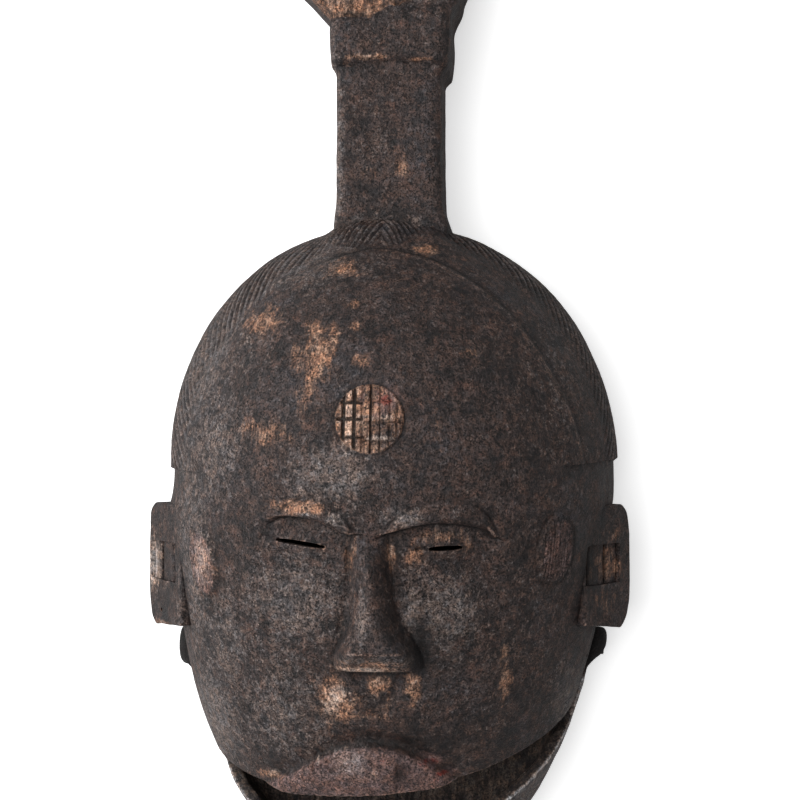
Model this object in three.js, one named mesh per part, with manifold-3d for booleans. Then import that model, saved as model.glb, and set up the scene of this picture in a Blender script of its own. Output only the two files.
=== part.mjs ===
// Carved wooden face mask with a hinged jaw, lying on its back.
// Millimetres, +Z up: the face looks up, the crown and its shaft point to +Y, the chin to -Y.
import * as THREE from "three";
import { mergeVertices } from "three/addons/utils/BufferGeometryUtils.js";
import Module from "manifold-3d";

const wasm = await Module();
wasm.setup();

// The head is one superellipsoid, cut flat behind; the jaw continues the same surface.
const head = {
  halfWidth: 98.5,
  crownRise: 109,
  chinDrop: 186,
  centreY: -24,
  widestZ: 26,
  height: 110,
  recede: 0.2,
  recedeLength: 145,
  roundness: 2.1,
  wall: 8.5,
  backDepth: 100,
};
const hair = {
  relief: 1.8,
  frontZ: 86,
  endY: -18,
  endLean: 0.17,
  grooves: 7,
  pitchDeg: 12,
  grooveWidth: 1.8,
  grooveLean: 0.5,
};
const disc = { radius: 14, relief: 0.8, bars: 3, barPitch: 6.2, grooveWidth: 1.3, grooveDepth: 1.1 };
const brow = { centreX: 26.5, centreY: -45, spanX: 22, rise: 11.5, thickness: 4.2, relief: 1.4 };
const eye = {
  centreX: 29,
  centreY: -50.5,
  slitLength: 18,
  slitHeight: 2.2,
  slitTilt: 0.06,
  depth: 4.2,
  reachX: 25,
  reachY: 19,
};
const nose = {
  rootY: -45,
  baseY: -99,
  rootHalf: 7,
  baseHalf: 16,
  rootRise: 2.5,
  baseRise: 21,
  x: 2.5,
  sink: 5,
};
const mouth = { x: -7, halfWidth: 43, baseY: -154, rise: 21.5, relief: 2 };
const cheek = { x: 74, y: -57, halfWidth: 11, halfHeight: 14.5, halfDepth: 2.6, tilt: 0.9, sink: 0.9 };
const ear = {
  frontX: 86,
  frontZ: 76,
  rearX: 106.5,
  rearZ: 45,
  thickness: 17,
  topY: -37.5,
  bottomY: -91.5,
  corner: 7,
};
const earRecess = {
  height: 17,
  lift: 1.9,
  depth: 4.5,
  barDrop: 1.2,
  left: { start: 6, end: 34.3, bars: [[10.9, 22.5], [26.2, 33.2]] },
  right: { start: 0.5, end: 28, bars: [[4, 16.4], [18.9, 27]] },
};
const shaft = {
  x: 1.6,
  halfX: 23.4,
  lowZ: 15,
  highZ: 62,
  startY: 62,
  knotY: 82,
  knotEndY: 91,
  knot: 1.8,
  collarY: 154,
  chamfer: 5,
};
const finial = { collarX: 2.3, collarHalfX: 26.2, topY: 210, dishDepth: 7, dishX: 33, dishZ: 21 };

// The jaw hangs open by openDeg; closing it brings its rim parallel to the cut below the lip.
const hinge = { y: -104, z: 20, lugRadius: 9.5, innerX: 88, outerX: 96.3, pegRadius: 3, openDeg: 18 };
const lipCut = { y: -120.6, leanDeg: 20.35, skewDeg: 7.35, gap: 1.2 };
const rebate = { z: 44, y: -91.5 };
const tongue = { innerX: 78.5, outerX: 87.5, radius: 10 };
const jawShape = { wall: 5.5, startY: -114, floorZ: 8, throatY: -124, throatHalf: 74, throatReach: 24 };
const fit = 0.3;
const far = 400;
const facets = { around: 44, rings: 24, insideAround: 32, insideRings: 20 };

const darkWood = { color: 0x2b221d, roughness: 0.62, metalness: 0 };
const rawWood = { color: 0x4a382c, roughness: 0.7, metalness: 0 };

// Joining and cutting work on closed solids made from three.js geometry.
function solid(geometry) {
  const bare = geometry.clone();
  bare.deleteAttribute("normal");
  bare.deleteAttribute("uv");
  const merged = mergeVertices(bare, 1e-4);
  return new wasm.Manifold(
    new wasm.Mesh({
      numProp: 3,
      vertProperties: merged.attributes.position.array,
      triVerts: new Uint32Array(merged.index.array),
    }),
  );
}

function meshOf(name, body, look) {
  const made = body.getMesh();
  const geometry = new THREE.BufferGeometry();
  geometry.setAttribute("position", new THREE.BufferAttribute(made.vertProperties, 3));
  geometry.setIndex(new THREE.BufferAttribute(made.triVerts, 1));
  geometry.computeVertexNormals();
  const mesh = new THREE.Mesh(geometry, new THREE.MeshStandardMaterial(look));
  mesh.name = name;
  return mesh;
}

const union = (bodies) => bodies.reduce((all, body) => all.add(body));

function block(low, high) {
  const size = high.map((value, axis) => value - low[axis]);
  const middle = high.map((value, axis) => (value + low[axis]) / 2);
  return solid(new THREE.BoxGeometry(...size).translate(...middle));
}

// A flat outline standing along Z between two heights.
function prism(points, lowZ, highZ) {
  const shape = new THREE.Shape(points);
  const geometry = new THREE.ExtrudeGeometry(shape, { depth: highZ - lowZ, bevelEnabled: false });
  return solid(geometry.translate(0, 0, lowZ));
}

function arcPoints(centreX, centreY, radiusX, radiusY, startDeg, endDeg, steps) {
  return Array.from({ length: steps + 1 }, (_, i) => {
    const angle = THREE.MathUtils.degToRad(startDeg + ((endDeg - startDeg) * i) / steps);
    return new THREE.Vector2(centreX + radiusX * Math.cos(angle), centreY + radiusY * Math.sin(angle));
  });
}

// A round bar along X.
function barX(radius, fromX, toX, y, z, sides) {
  const geometry = new THREE.CylinderGeometry(radius, radius, Math.abs(toX - fromX), sides);
  return solid(geometry.rotateZ(Math.PI / 2).translate((fromX + toX) / 2, y, z));
}

// The head's surface
const power = (value) => Math.abs(value) ** head.roundness;
const recedeAt = (y) => 1 - (head.recede * Math.max(0, head.centreY - y)) / head.recedeLength;

function headZ(x, y) {
  const reach = y > head.centreY ? head.crownRise : head.chinDrop;
  const left = 1 - power(x / head.halfWidth) - power((y - head.centreY) / reach);
  return head.widestZ + head.height * recedeAt(y) * Math.max(left, 0) ** (1 / head.roundness);
}

// The head grown or shrunk by an offset; the depth behind its widest level sets how the back closes.
function egg(offset, backDepth, around = facets.around, rings = facets.rings) {
  const geometry = new THREE.SphereGeometry(1, around, rings).rotateX(Math.PI / 2);
  const points = geometry.attributes.position;
  for (let i = 0; i < points.count; i += 1) {
    const [x, y, z] = [points.getX(i), points.getY(i), points.getZ(i)];
    const k = (power(x) + power(y) + power(z)) ** (-1 / head.roundness);
    const placedY = head.centreY + k * y * ((y > 0 ? head.crownRise : head.chinDrop) + offset);
    const rise = z > 0 ? (head.height + offset) * recedeAt(placedY) : backDepth;
    points.setXYZ(i, k * x * (head.halfWidth + offset), placedY, head.widestZ + k * z * rise);
  }
  return solid(geometry);
}

const headSkin = egg(0, head.backDepth);
const hollowFrom = (wall) => egg(-wall, far, facets.insideAround, facets.insideRings);
const aboveFloor = block([-far, -far, 0], [far, far, far]);

// A layer of the head's surface, from some way inside it to its relief above it.
function layer(relief, inside) {
  return egg(relief, head.backDepth).subtract(hollowFrom(inside));
}

// Everything below the lip, as one big block whose upper face is the cut, moved back by a gap.
function belowLip(gap) {
  const geometry = new THREE.BoxGeometry(2 * far, 2 * far, 2 * far).translate(0, -far - gap, 0);
  geometry.rotateX(THREE.MathUtils.degToRad(lipCut.leanDeg));
  geometry.rotateZ(THREE.MathUtils.degToRad(lipCut.skewDeg));
  return solid(geometry.translate(0, lipCut.y, 0));
}

function shell() {
  const behindJaw = block([-far, -far, -far], [far, rebate.y, rebate.z]);
  const cutFlat = headSkin.intersect(aboveFloor).subtract(hollowFrom(head.wall));
  return cutFlat.subtract(behindJaw).subtract(belowLip(0));
}

// Hair: a raised band behind the forehead's edge, cut by slanting grooves that meet under the shaft.
function hairBand() {
  const slope = [
    new THREE.Vector2(hair.endY, -1),
    new THREE.Vector2(hair.endY, head.widestZ),
    new THREE.Vector2(hair.endY + hair.endLean * (hair.frontZ - head.widestZ), hair.frontZ),
    new THREE.Vector2(far, hair.frontZ),
    new THREE.Vector2(far, -1),
  ];
  // The outline is drawn as (y, z) and turned so that it stands across the head.
  const region = new THREE.ExtrudeGeometry(new THREE.Shape(slope), { depth: 2 * far, bevelEnabled: false });
  region.translate(0, 0, -far).rotateY(Math.PI / 2).rotateX(Math.PI / 2);
  let band = layer(hair.relief, 4).intersect(solid(region)).intersect(aboveFloor);
  const grooveLayer = egg(hair.relief + 2, head.backDepth).subtract(headSkin);
  for (const side of [-1, 1]) {
    for (let i = 0; i < hair.grooves; i += 1) {
      band = band.subtract(hairGroove(side, i).intersect(grooveLayer));
    }
  }
  return band;
}

// One groove is a thin slab leaning away from the crown towards the forehead.
function hairGroove(side, index) {
  const turn = THREE.MathUtils.degToRad(88 - (index + 0.4) * hair.pitchDeg);
  const [x, y] = [side * head.halfWidth * Math.cos(turn), head.centreY + head.crownRise * Math.sin(turn)];
  const geometry = new THREE.BoxGeometry(60, hair.grooveWidth, 150);
  geometry.rotateX(side * hair.grooveLean);
  geometry.rotateZ(side > 0 ? turn : Math.PI - turn);
  return solid(geometry.translate(x, y, head.widestZ));
}

function foreheadDisc() {
  let pad = prism(arcPoints(0, 0, disc.radius, disc.radius, 0, 340, 17), 100, 160);
  pad = pad.intersect(layer(disc.relief, 4));
  const cutLayer = layer(disc.relief + 3, disc.grooveDepth - disc.relief);
  for (let i = -1; i < disc.bars - 1; i += 1) {
    const place = i * disc.barPitch;
    const half = disc.grooveWidth / 2;
    pad = pad.subtract(block([place - half, -20, 100], [place + half, 20, 160]).intersect(cutLayer));
    pad = pad.subtract(block([-20, place - half, 100], [20, place + half, 160]).intersect(cutLayer));
  }
  return pad;
}

// Brows: crescents left standing above the hollowed eyes.
function browPad(side) {
  const outer = arcPoints(side * brow.centreX, brow.centreY, brow.spanX, brow.rise, 0, 180, 16);
  const lowRise = brow.rise - brow.thickness;
  const inner = arcPoints(side * brow.centreX, brow.centreY, brow.spanX - 1.5, lowRise, 180, 0, 16);
  return prism([...outer, ...inner], 90, 160).intersect(layer(brow.relief, 5));
}

function eyeHollow(side) {
  const x = side * brow.centreX;
  const top = arcPoints(x, brow.centreY, brow.spanX, brow.rise - 1, 0, 180, 16);
  const below = arcPoints(x, brow.centreY, eye.reachX, eye.reachY + 6, 180, 360, 16);
  const ball = new THREE.SphereGeometry(1, 16, 10).scale(eye.reachX + 3, eye.reachY + 3, 3 * eye.depth);
  const height = headZ(x, eye.centreY);
  ball.rotateY(side * 0.32).rotateX(0.1);
  ball.translate(x, eye.centreY + 4, height + 2 * eye.depth);
  return solid(ball).intersect(prism([...top, ...below], 90, 180));
}

function eyeSlit(side) {
  const geometry = new THREE.BoxGeometry(eye.slitLength, eye.slitHeight, 80);
  return solid(geometry.rotateZ(side * eye.slitTilt).translate(side * eye.centreX, eye.centreY, head.height));
}

// The nose widens from the root between the brows to a flat base.
function noseRidge() {
  const stations = 9;
  const across = 12;
  const rings = [];
  for (let i = 0; i <= stations; i += 1) {
    const along = i / stations;
    const y = THREE.MathUtils.lerp(nose.rootY, nose.baseY, along);
    const half = THREE.MathUtils.lerp(nose.rootHalf, nose.baseHalf, along ** 1.6);
    const rise = THREE.MathUtils.lerp(nose.rootRise, nose.baseRise, along ** 0.85);
    const ring = [];
    for (let j = 0; j <= across; j += 1) {
      const u = -1 + (2 * j) / across;
      const x = nose.x * along + u * half;
      const bridge = (rise + nose.sink) * (1 - Math.abs(u) ** 2.2);
      ring.push(new THREE.Vector3(x, y, headZ(x, y) - nose.sink + bridge));
    }
    rings.push(ring);
  }
  return loft(rings);
}

// A closed body through flat rings of points that follow each other along Y, capped at both ends.
function loft(rings) {
  const flat = (ring) => ring.map((point) => new THREE.Vector2(point.x, point.z));
  const rising = rings[0][0].y < rings.at(-1)[0].y ? rings : rings.toReversed();
  const clockwise = THREE.ShapeUtils.isClockWise(flat(rising[0]));
  const turned = clockwise ? rising.map((ring) => ring.toReversed()) : rising;
  const count = turned[0].length;
  const last = (turned.length - 1) * count;
  const index = [];
  for (let start = 0; start < last; start += count) {
    for (let j = 0; j < count; j += 1) {
      const [a, b] = [start + j, start + ((j + 1) % count)];
      index.push(a, a + count, b, b, a + count, b + count);
    }
  }
  for (const [a, b, c] of THREE.ShapeUtils.triangulateShape(flat(turned[0]), [])) {
    index.push(a, b, c);
  }
  for (const [a, b, c] of THREE.ShapeUtils.triangulateShape(flat(turned.at(-1)), [])) {
    index.push(last + a, last + c, last + b);
  }
  const geometry = new THREE.BufferGeometry().setFromPoints(turned.flat());
  geometry.setIndex(index);
  return solid(geometry);
}

function mouthPad() {
  const outline = arcPoints(mouth.x, mouth.baseY, mouth.halfWidth, mouth.rise, 0, 180, 20);
  for (const side of [-1, 1]) {
    outline.push(new THREE.Vector2(mouth.x + side * mouth.halfWidth, -far));
  }
  return prism(outline, 40, 160).intersect(layer(mouth.relief, 5)).subtract(belowLip(0));
}

function cheekDisc(side) {
  const pad = new THREE.SphereGeometry(1, 16, 8).scale(cheek.halfWidth, cheek.halfHeight, cheek.halfDepth);
  const height = headZ(cheek.x, cheek.y) - cheek.sink;
  pad.rotateY(side * cheek.tilt).translate(side * (cheek.x - cheek.sink), cheek.y, height);
  return solid(pad);
}

// Ears: slabs whose broad outer face slants out towards the back, with two bars in a recess.
// The recess was cut further back on the left ear than on the right one.
function earSlab(side) {
  const length = Math.hypot(ear.rearX - ear.frontX, ear.frontZ - ear.rearZ);
  const height = ear.topY - ear.bottomY;
  const slant = Math.atan2(ear.rearX - ear.frontX, ear.frontZ - ear.rearZ);
  const outline = [
    ...arcPoints(length - ear.corner, height - ear.corner, ear.corner, ear.corner, 0, 90, 4),
    ...arcPoints(2, height - 2, 2, 2, 90, 180, 1),
    ...arcPoints(2, 2, 2, 2, 180, 270, 1),
    ...arcPoints(length - ear.corner, ear.corner, ear.corner, ear.corner, 270, 360, 4),
  ];
  const slab = prism(outline, -ear.thickness, 0);
  const middle = height / 2 + earRecess.lift;
  const half = earRecess.height / 2;
  const { start, end, bars } = side < 0 ? earRecess.left : earRecess.right;
  let recess = block([start, middle - half, -earRecess.depth], [end, middle + half, 1]);
  for (const [from, to] of bars) {
    const bar = block([from, middle - half - 1, -far], [to, middle + half + 1, -earRecess.barDrop]);
    recess = recess.subtract(bar);
  }
  // Local X runs back along the slanted face, local Y up the ear, local Z outwards.
  const placed = new THREE.Matrix4().makeBasis(
    new THREE.Vector3(Math.sin(slant), 0, -Math.cos(slant)),
    new THREE.Vector3(0, 1, 0),
    new THREE.Vector3(Math.cos(slant), 0, Math.sin(slant)),
  );
  placed.setPosition(ear.frontX, ear.bottomY, ear.frontZ);
  const mirrored = new THREE.Matrix4().makeScale(side, 1, 1).multiply(placed);
  return slab.subtract(recess).transform(mirrored.elements);
}

// Shaft, collar and finial are one stack of chamfered sections along Y.
function crest() {
  const midZ = (shaft.lowZ + shaft.highZ) / 2;
  const halfZ = (shaft.highZ - shaft.lowZ) / 2;
  const sections = [
    [shaft.startY, shaft.x, shaft.halfX, halfZ, shaft.chamfer],
    [shaft.knotY, shaft.x + shaft.knot / 2, shaft.halfX + shaft.knot, halfZ + 1.5, shaft.chamfer],
    [shaft.knotEndY, shaft.x, shaft.halfX, halfZ, shaft.chamfer],
    [shaft.collarY, shaft.x, shaft.halfX, halfZ, shaft.chamfer],
    [shaft.collarY + 5, finial.collarX, finial.collarHalfX, halfZ + 3.5, 3],
    [shaft.collarY + 16.5, finial.collarX, finial.collarHalfX, halfZ + 3.5, 3],
    [shaft.collarY + 19.5, 1.4, 27.8, halfZ + 2, 4],
    [shaft.collarY + 22.5, 0, 30.4, halfZ + 1.5, 5],
    [shaft.collarY + 27, -1, 33, halfZ + 2, 6],
    [shaft.collarY + 32, -2.2, 36.2, halfZ + 3, 8],
    [shaft.collarY + 41, -3.8, 41, halfZ + 5, 11],
    [shaft.collarY + 50, -4.2, 42.6, halfZ + 6, 13],
    [finial.topY, -4, 39.5, halfZ + 3.5, 13],
  ];
  const rings = sections.map(([y, x, halfX, half, corner]) => ring(y, x, halfX, midZ, half, corner));
  const dish = new THREE.SphereGeometry(1, 20, 8).scale(finial.dishX, finial.dishDepth, finial.dishZ);
  return loft(rings).subtract(solid(dish.translate(-4, finial.topY, midZ)));
}

// A rectangle in X and Z with rounded corners, facing along Y.
function ring(y, x, halfX, z, halfZ, corner) {
  const quarter = (startDeg, signX, signZ) => {
    const centre = [x + signX * (halfX - corner), z + signZ * (halfZ - corner)];
    return arcPoints(...centre, corner, corner, startDeg, startDeg + 90, 2);
  };
  const points = [
    ...quarter(0, 1, 1),
    ...quarter(90, -1, 1),
    ...quarter(180, -1, -1),
    ...quarter(270, 1, -1),
  ];
  return points.map((point) => new THREE.Vector3(point.x, y, point.y));
}

// Hinge: a tongue of the mask inside each lug of the jaw, with a peg through both.
function hingeTongue(side) {
  const [from, to] = [tongue.innerX, tongue.outerX].map((x) => side * x).sort((a, b) => a - b);
  const round = barX(tongue.radius, from, to, hinge.y, hinge.z, 24);
  const low = hinge.z - tongue.radius;
  return round.add(block([from, hinge.y, low], [to, rebate.y + 4, rebate.z + 6]));
}

const pegHole = (side) => barX(hinge.pegRadius + fit, side * 70, side * 110, hinge.y, hinge.z, 16);

function peg(side) {
  const [from, to] = [side * (tongue.innerX + 1), side * (hinge.outerX - 0.6)];
  return barX(hinge.pegRadius, from, to, hinge.y, hinge.z, 16);
}

function maskBody() {
  const hollow = hollowFrom(head.wall);
  let body = union([shell(), hairBand(), crest().subtract(hollow)]);
  for (const side of [-1, 1]) {
    body = body.subtract(eyeHollow(side)).add(browPad(side));
  }
  body = union([body, foreheadDisc(), noseRidge().subtract(hollow), mouthPad()]);
  for (const side of [-1, 1]) {
    body = body.add(cheekDisc(side)).add(earSlab(side).subtract(hollow)).add(hingeTongue(side));
    body = body.subtract(eyeSlit(side)).subtract(pegHole(side));
  }
  return body;
}

// Turns a body about the hinge; a positive angle opens the jaw.
function swing(body, degrees) {
  return body
    .translate([0, -hinge.y, -hinge.z])
    .rotate([degrees, 0, 0])
    .translate([0, hinge.y, hinge.z]);
}

function jawLug(side) {
  const [from, to] = [hinge.innerX, hinge.outerX].map((x) => side * x).sort((a, b) => a - b);
  const round = barX(hinge.lugRadius, from, to, hinge.y, hinge.z, 24);
  // The link runs from the lug's outer side down and in to the jaw's side wall.
  const link = [
    [hinge.innerX, hinge.y],
    [hinge.outerX, hinge.y],
    [94.5, hinge.y - 6],
    [89.5, hinge.y - 12],
    [86, hinge.y - 17],
    [80, hinge.y - 17],
    [80.8, hinge.y - 11.5],
    [hinge.innerX, hinge.y - 10.6],
  ].map(([x, y]) => new THREE.Vector2(side * x, y));
  return round.add(prism(link, hinge.z - hinge.lugRadius, hinge.z + hinge.lugRadius));
}

function jawBody() {
  const behindFace = block([-far, -far, -far], [far, rebate.y, rebate.z - lipCut.gap]);
  const beforeHinge = block([-far, -far, 0], [far, jawShape.startY, far]);
  const region = swing(belowLip(lipCut.gap).add(behindFace), hinge.openDeg).intersect(beforeHinge);
  const scoop = egg(-jawShape.wall, head.widestZ - jawShape.floorZ);
  // The floor of the scoop ends in a curve behind, open for the wearer's chin.
  const bite = arcPoints(0, jawShape.throatY, jawShape.throatHalf, jawShape.throatReach, 180, 360, 14);
  bite.push(new THREE.Vector2(far, rebate.y), new THREE.Vector2(-far, rebate.y));
  const throat = hollowFrom(jawShape.wall).intersect(prism(bite, -far, far));
  let body = headSkin.intersect(region).subtract(scoop).subtract(throat);
  for (const side of [-1, 1]) {
    body = body.add(jawLug(side)).subtract(pegHole(side));
  }
  return body;
}

const mask = new THREE.Group();
mask.add(meshOf("mask", maskBody(), darkWood));
mask.add(meshOf("jaw", jawBody(), rawWood));
mask.add(meshOf("hinge_peg_left", peg(-1), rawWood));
mask.add(meshOf("hinge_peg_right", peg(1), rawWood));

export default mask;
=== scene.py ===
import math

import bmesh
import bpy
import numpy as np
from mathutils import Matrix, Vector, noise


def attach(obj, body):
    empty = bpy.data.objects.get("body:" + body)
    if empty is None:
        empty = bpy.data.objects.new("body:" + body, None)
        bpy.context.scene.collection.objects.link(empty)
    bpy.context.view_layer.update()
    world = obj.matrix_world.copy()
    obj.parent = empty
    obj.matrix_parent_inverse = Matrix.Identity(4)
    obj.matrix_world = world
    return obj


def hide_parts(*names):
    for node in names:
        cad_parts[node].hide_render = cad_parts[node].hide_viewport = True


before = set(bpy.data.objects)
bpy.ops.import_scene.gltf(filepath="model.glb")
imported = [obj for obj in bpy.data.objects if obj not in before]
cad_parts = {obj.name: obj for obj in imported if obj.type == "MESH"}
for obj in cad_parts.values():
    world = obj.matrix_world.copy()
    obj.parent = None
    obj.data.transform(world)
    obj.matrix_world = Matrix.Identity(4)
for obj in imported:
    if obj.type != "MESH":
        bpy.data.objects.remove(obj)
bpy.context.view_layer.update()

# Carved wooden face mask, lying on its back. Shapes are worked out in millimetres and scaled at the end.

print("camera and light")

camera = {"target": (4.3, 7.5, 28), "distance": 800, "yawDeg": 4.2, "lens": 80}
light = {
    "topPlace": (-380, 160, 1550), "topSize": 1000, "topPower": 19,
    "sidePlace": (-980, 120, 430), "sideSize": 1100, "sidePower": 8.6,
    "sky": 0.30, "floorSeen": 0.95, "floorGlow": 0.52, "floorBounce": 0.42,
    # the middle and half size of the painted shade on the paper under the carving
    "paintedShadeMiddle": (0, -10, 0), "paintedShadeHalf": (84, 90),
}


def addCamera():
    yaw = math.radians(camera["yawDeg"])
    back = Vector((math.sin(yaw), 0, math.cos(yaw)))
    right = Vector((0, 1, 0)).cross(back)
    place = Vector(camera["target"]) + back * camera["distance"]
    data = bpy.data.cameras.new("camera")
    data.lens = camera["lens"]
    data.sensor_width = 36
    data.clip_end = 20
    eyepiece = bpy.data.objects.new("camera", data)
    turn = Matrix((right, (0, 1, 0), back)).transposed().to_4x4()
    eyepiece.matrix_world = Matrix.Translation(place * 0.001) @ turn
    bpy.context.collection.objects.link(eyepiece)
    bpy.context.scene.camera = eyepiece


def addLamp(name, place, size, power):
    data = bpy.data.lights.new(name, "AREA")
    data.shape = "DISK"
    data.size = size * 0.001
    data.energy = power
    lamp = bpy.data.objects.new(name, data)
    aim = Vector((0, 0, 40)) - Vector(place)
    turn = aim.to_track_quat("-Z", "Y").to_matrix().to_4x4()
    lamp.matrix_world = Matrix.Translation(Vector(place) * 0.001) @ turn
    bpy.context.collection.objects.link(lamp)


def addFloor():
    bm = bmesh.new()
    bmesh.ops.create_grid(bm, x_segments=1, y_segments=1, size=6)
    mesh = bpy.data.meshes.new("floor")
    bm.to_mesh(mesh)
    bm.free()
    floor = bpy.data.objects.new("floor", mesh)
    bpy.context.collection.objects.link(floor)
    paper = bpy.data.materials.new("pale_paper")
    paper.use_nodes = True
    tree = paper.node_tree
    shader = tree.nodes["Principled BSDF"]
    shader.inputs["Roughness"].default_value = 0.9
    shader.inputs["Specular IOR Level"].default_value = 0.1
    shader.inputs["Emission Color"].default_value = (1, 1, 1, 1)
    # painted shade: under the carving the paper is made dark and its glow fades out, so that its slits look
    # black
    coordinates = tree.nodes.new("ShaderNodeTexCoord")
    place = tree.nodes.new("ShaderNodeMapping")
    place.vector_type = "TEXTURE"
    place.inputs["Location"].default_value = Vector(light["paintedShadeMiddle"]) * 0.001
    place.inputs["Scale"].default_value = (light["paintedShadeHalf"][0] * 0.001, light["paintedShadeHalf"][1] * 0.001, 1)
    away = tree.nodes.new("ShaderNodeVectorMath")
    away.operation = "LENGTH"
    glow = tree.nodes.new("ShaderNodeMapRange")
    glow.inputs["From Min"].default_value = 0.93
    glow.inputs["To Max"].default_value = light["floorGlow"]
    shade = tree.nodes.new("ShaderNodeMapRange")
    shade.inputs["From Min"].default_value = 0.93
    shade.inputs["To Min"].default_value = 0.01
    shade.inputs["To Max"].default_value = light["floorSeen"]
    tree.links.new(away.outputs["Value"], shade.inputs["Value"])
    tree.links.new(shade.outputs["Result"], shader.inputs["Base Color"])
    tree.links.new(coordinates.outputs["Object"], place.inputs["Vector"])
    tree.links.new(place.outputs["Vector"], away.inputs[0])
    tree.links.new(away.outputs["Value"], glow.inputs["Value"])
    tree.links.new(glow.outputs["Result"], shader.inputs["Emission Strength"])
    # seen directly the paper is bright and evenly lit from below; the light it throws back is weaker
    dull = tree.nodes.new("ShaderNodeBsdfDiffuse")
    dull.inputs["Color"].default_value = (light["floorBounce"],) * 3 + (1,)
    seen = tree.nodes.new("ShaderNodeLightPath")
    either = tree.nodes.new("ShaderNodeMixShader")
    tree.links.new(seen.outputs["Is Camera Ray"], either.inputs["Fac"])
    tree.links.new(dull.outputs["BSDF"], either.inputs[1])
    tree.links.new(shader.outputs["BSDF"], either.inputs[2])
    tree.links.new(either.outputs["Shader"], tree.nodes["Material Output"].inputs["Surface"])
    mesh.materials.append(paper)


def addSky():
    world = bpy.data.worlds.new("studio")
    world.use_nodes = True
    world.node_tree.nodes["Background"].inputs["Color"].default_value = (1, 1, 1, 1)
    world.node_tree.nodes["Background"].inputs["Strength"].default_value = light["sky"]
    bpy.context.scene.world = world


addCamera()
addLamp("top", light["topPlace"], light["topSize"], light["topPower"])
addLamp("side", light["sidePlace"], light["sideSize"], light["sidePower"])
addFloor()
addSky()
bpy.context.scene.view_settings.view_transform = "Standard"

print("tools")


def clamp(value, low=0.0, high=1.0):
    return min(max(value, low), high)


def smooth(low, high, value):
    t = clamp((value - low) / (high - low))
    return t * t * (3 - 2 * t)


def lerp(a, b, t):
    return a + (b - a) * t


def along(points, x):  # a soft line through points, level past both ends
    if x <= points[0][0]:
        return points[0][1]
    if x >= points[-1][0]:
        return points[-1][1]
    for i in range(len(points) - 1):
        x0, y0 = points[i]
        x1, y1 = points[i + 1]
        if x <= x1:
            before = points[max(i - 1, 0)]
            after = points[min(i + 2, len(points) - 1)]
            step = x1 - x0
            slopeIn = (y1 - before[1]) / (x1 - before[0])
            slopeOut = (after[1] - y0) / (after[0] - x0)
            t = (x - x0) / step
            rest = 1 - t
            return (y0 * rest * rest * (1 + 2 * t) + y1 * t * t * (3 - 2 * t)
                    + slopeIn * step * t * rest * rest - slopeOut * step * t * t * rest)
    return points[-1][1]


def rough(point, size, seed=0.0):  # about -1 to 1
    return noise.noise(Vector((point[0] / size + seed, point[1] / size - seed, point[2] / size + 2 * seed)))


def objectFrom(bm, name):
    bmesh.ops.recalc_face_normals(bm, faces=bm.faces[:])
    mesh = bpy.data.meshes.new(name)
    bm.to_mesh(mesh)
    bm.free()
    piece = bpy.data.objects.new(name, mesh)
    bpy.context.collection.objects.link(piece)
    return piece


def settle(piece):  # the modifiers become the mesh
    graph = bpy.context.evaluated_depsgraph_get()
    mesh = bpy.data.meshes.new_from_object(piece.evaluated_get(graph), depsgraph=graph)
    piece.modifiers.clear()
    old = piece.data
    piece.data = mesh
    bpy.data.meshes.remove(old)


def combine(piece, other, operation):
    cut = piece.modifiers.new("cut", "BOOLEAN")
    cut.object = other
    cut.operation = operation
    cut.solver = "MANIFOLD"
    settle(piece)
    mesh = other.data
    bpy.data.objects.remove(other)
    bpy.data.meshes.remove(mesh)
    if len(piece.data.polygons) == 0:
        raise RuntimeError(f"{piece.name}: nothing is left after {operation}")


def boxBetween(low, high, name="block"):
    bm = bmesh.new()
    bmesh.ops.create_cube(bm, size=1)
    size = [high[i] - low[i] for i in range(3)]
    middle = [(high[i] + low[i]) / 2 for i in range(3)]
    bmesh.ops.scale(bm, vec=size, verts=bm.verts)
    bmesh.ops.translate(bm, vec=middle, verts=bm.verts)
    return objectFrom(bm, name)


def roundBar(radius, fromX, toX, y, z, sides=32, bevelBy=0.0):
    bm = bmesh.new()
    bmesh.ops.create_cone(bm, cap_ends=True, segments=sides, radius1=radius, radius2=radius,
                          depth=abs(toX - fromX))
    if bevelBy:
        rims = [e for e in bm.edges if abs(e.calc_length() - 2 * radius * math.sin(math.pi / sides)) < 0.01]
        bmesh.ops.bevel(bm, geom=rims, offset=bevelBy, segments=2, profile=0.5, affect="EDGES", material=-1)
    bmesh.ops.rotate(bm, cent=(0, 0, 0), matrix=Matrix.Rotation(math.pi / 2, 3, "Y"), verts=bm.verts)
    bmesh.ops.translate(bm, vec=((fromX + toX) / 2, y, z), verts=bm.verts)
    return objectFrom(bm, "bar")


print("head")

head = {
    "halfWidth": 98.5, "crownRise": 109, "chinDrop": 186, "centreY": -24, "widestZ": 26, "height": 110,
    "recede": 0.2, "recedeLength": 145, "roundness": 2.1, "wall": 8.5, "backDepth": 100,
    "segments": 50, "hollowSegments": 38,
}
lipCut = {"y": -120.6, "leanDeg": 20.35, "skewDeg": 7.35, "gap": 1.2, "roundOver": 1.6}
hinge = {
    "y": -104, "z": 20, "lugRadius": 9.5, "innerX": 88, "outerX": 96.3, "pegRadius": 3, "play": 0.3,
    "openDeg": 18,
}
rebate = {"z": 44, "y": -91.5}
tongue = {"innerX": 78.5, "outerX": 87.5, "radius": 10}
far = 300


def recedeAt(y):
    return 1 - head["recede"] * max(0, head["centreY"] - y) / head["recedeLength"]


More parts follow.
